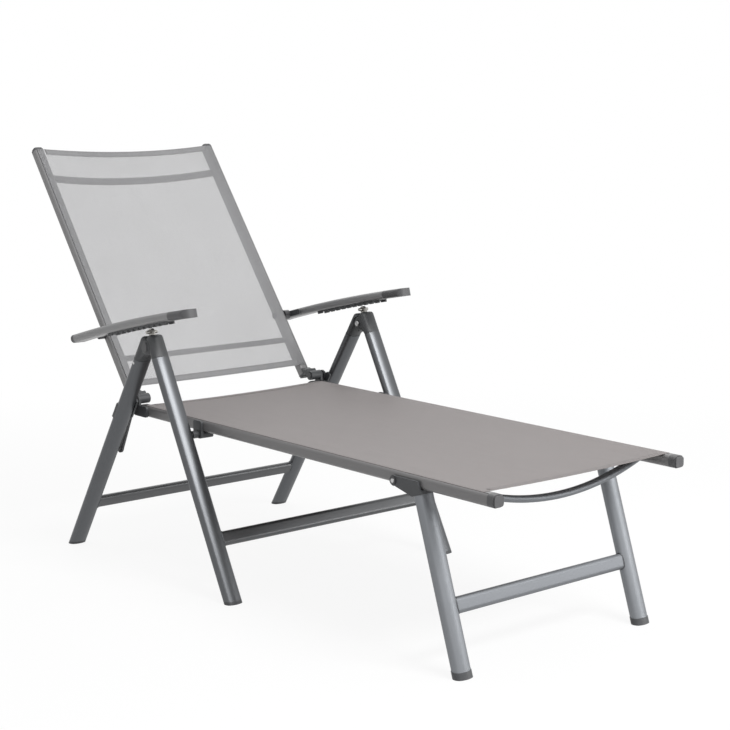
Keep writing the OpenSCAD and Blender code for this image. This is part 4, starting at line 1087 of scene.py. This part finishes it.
def add_floor(scene, settings):
    """Disc under the object: near it a lit floor that keeps the shadow, far from it plain white."""
    turn = full_turn(64)
    radius = np.array(FLOOR_RINGS)
    points = np.stack(np.broadcast_arrays(
        radius[:, None] * np.cos(turn), radius[:, None] * np.sin(turn), -FLOOR_DROP), axis=-1)
    mesh = grid_mesh("floor", [points], round_v=True)
    merge_doubles(mesh, 1e-3)
    if mesh.polygons[0].normal.z < 0:
        mesh.flip_normals()
    floor = bpy.data.objects.new("floor", mesh)
    scene.collection.objects.link(floor)
    material, nodes, surface, place = new_material("Pale floor")
    speckle = nodes.noise(place, 90.0, detail=3.0)
    nodes.link(nodes.tint(tuple(settings.floor_colour), nodes.spread(speckle, 0.985, 1.015)),
               surface["Base Color"])
    surface["Roughness"].default_value = 0.9
    glow = nodes.add("ShaderNodeEmission")
    split = nodes.add("ShaderNodeSeparateXYZ")
    nodes.link(place, split.inputs[0])
    square = nodes.plus(nodes.times(split.outputs[0], split.outputs[0]),
                        nodes.times(split.outputs[1], split.outputs[1]))
    far = nodes.add("ShaderNodeMapRange", interpolation_type="SMOOTHSTEP")
    ranges = {"From Min": 1.0, "From Max": 7.0, "To Min": settings.floor_glow, "To Max": 1.0}
    for socket, value in ranges.items():
        far.inputs[socket].default_value = value
    nodes.link(square, far.inputs["Value"])
    seen = seen_directly(nodes)
    blend = nodes.add("ShaderNodeMixShader")
    nodes.link(nodes.times(far.outputs["Result"], seen), blend.inputs[0])
    end = next(n for n in nodes.tree.nodes if n.type == "OUTPUT_MATERIAL")
    lit = next(n for n in nodes.tree.nodes if n.type == "BSDF_PRINCIPLED")
    nodes.link(lit.outputs[0], blend.inputs[1])
    nodes.link(glow.outputs[0], blend.inputs[2])
    nodes.link(blend.outputs[0], end.inputs["Surface"])
    mesh.materials.append(material)


def add_world(scene, settings):
    """White where the camera, a reflection or glass sees it, softer where it lights the object."""
    world = bpy.data.worlds.new("Studio")
    scene.world = world
    world.use_nodes = True
    nodes = Nodes(world.node_tree)
    world.node_tree.nodes.clear()
    seen = seen_directly(nodes)
    back = nodes.add("ShaderNodeBackground")
    back.inputs["Color"].default_value = (1, 1, 1, 1)
    nodes.link(nodes.spread(seen, settings.ambient, 1.0), back.inputs["Strength"])
    end = nodes.add("ShaderNodeOutputWorld")
    nodes.link(back.outputs[0], end.inputs["Surface"])


def add_lamp(scene, name, middle, offset, sides, power):
    """A soft lamp, sides wide and high, that looks at the object's middle."""
    data = bpy.data.lights.new(name, "AREA")
    data.shape = "RECTANGLE"
    data.size, data.size_y = sides
    data.energy = power
    lamp = bpy.data.objects.new(name, data)
    scene.collection.objects.link(lamp)
    offset = np.array(offset)
    lamp.location = middle + offset
    away = offset / np.linalg.norm(offset)
    lamp.rotation_euler = (math.acos(away[2]), 0, math.atan2(away[1], away[0]) + math.pi / 2)


class LOUNGER_PT_panel(Panel):
    """Lists the lounger's pieces and their sizes"""

    bl_idname = "LOUNGER_PT_panel"
    bl_label = "Folding sun lounger"
    bl_space_type = "VIEW_3D"
    bl_region_type = "UI"
    bl_category = "Lounger"

    def draw(self, context):
        for name, (group, operators) in PARTS.items():
            box = self.layout.box()
            for operator in operators:
                box.operator(operator.bl_idname)
            for key in group.__annotations__:
                box.prop(getattr(context.scene, name), key)


PARTS = {
    "lounger_slings": (SlingSettings, [LOUNGER_OT_seat_sling, LOUNGER_OT_back_sling]),
    "lounger_hems": (HemSettings, []),
    "lounger_metals": (MetalSettings, [LOUNGER_OT_finishes, LOUNGER_OT_welds, LOUNGER_OT_bolt_heads]),
    "lounger_plastics": (PlasticSettings, []),
    "lounger_stage": (StageSettings, [LOUNGER_OT_stage]),
}


def register():
    for name, (group, operators) in PARTS.items():
        for kind in (group, *operators):
            bpy.utils.register_class(kind)
        setattr(bpy.types.Scene, name, PointerProperty(type=group))
    bpy.utils.register_class(LOUNGER_PT_panel)


def unregister():
    bpy.utils.unregister_class(LOUNGER_PT_panel)
    for name, (group, operators) in PARTS.items():
        delattr(bpy.types.Scene, name)
        for kind in (*operators, group):
            bpy.utils.unregister_class(kind)


def main():
    register()
    bpy.ops.lounger.stage()
    bpy.ops.lounger.finishes()
    bpy.ops.lounger.seat_sling()
    bpy.ops.lounger.back_sling()
    bpy.ops.lounger.welds()
    bpy.ops.lounger.bolt_heads()


if __name__ == "__main__":
    main()
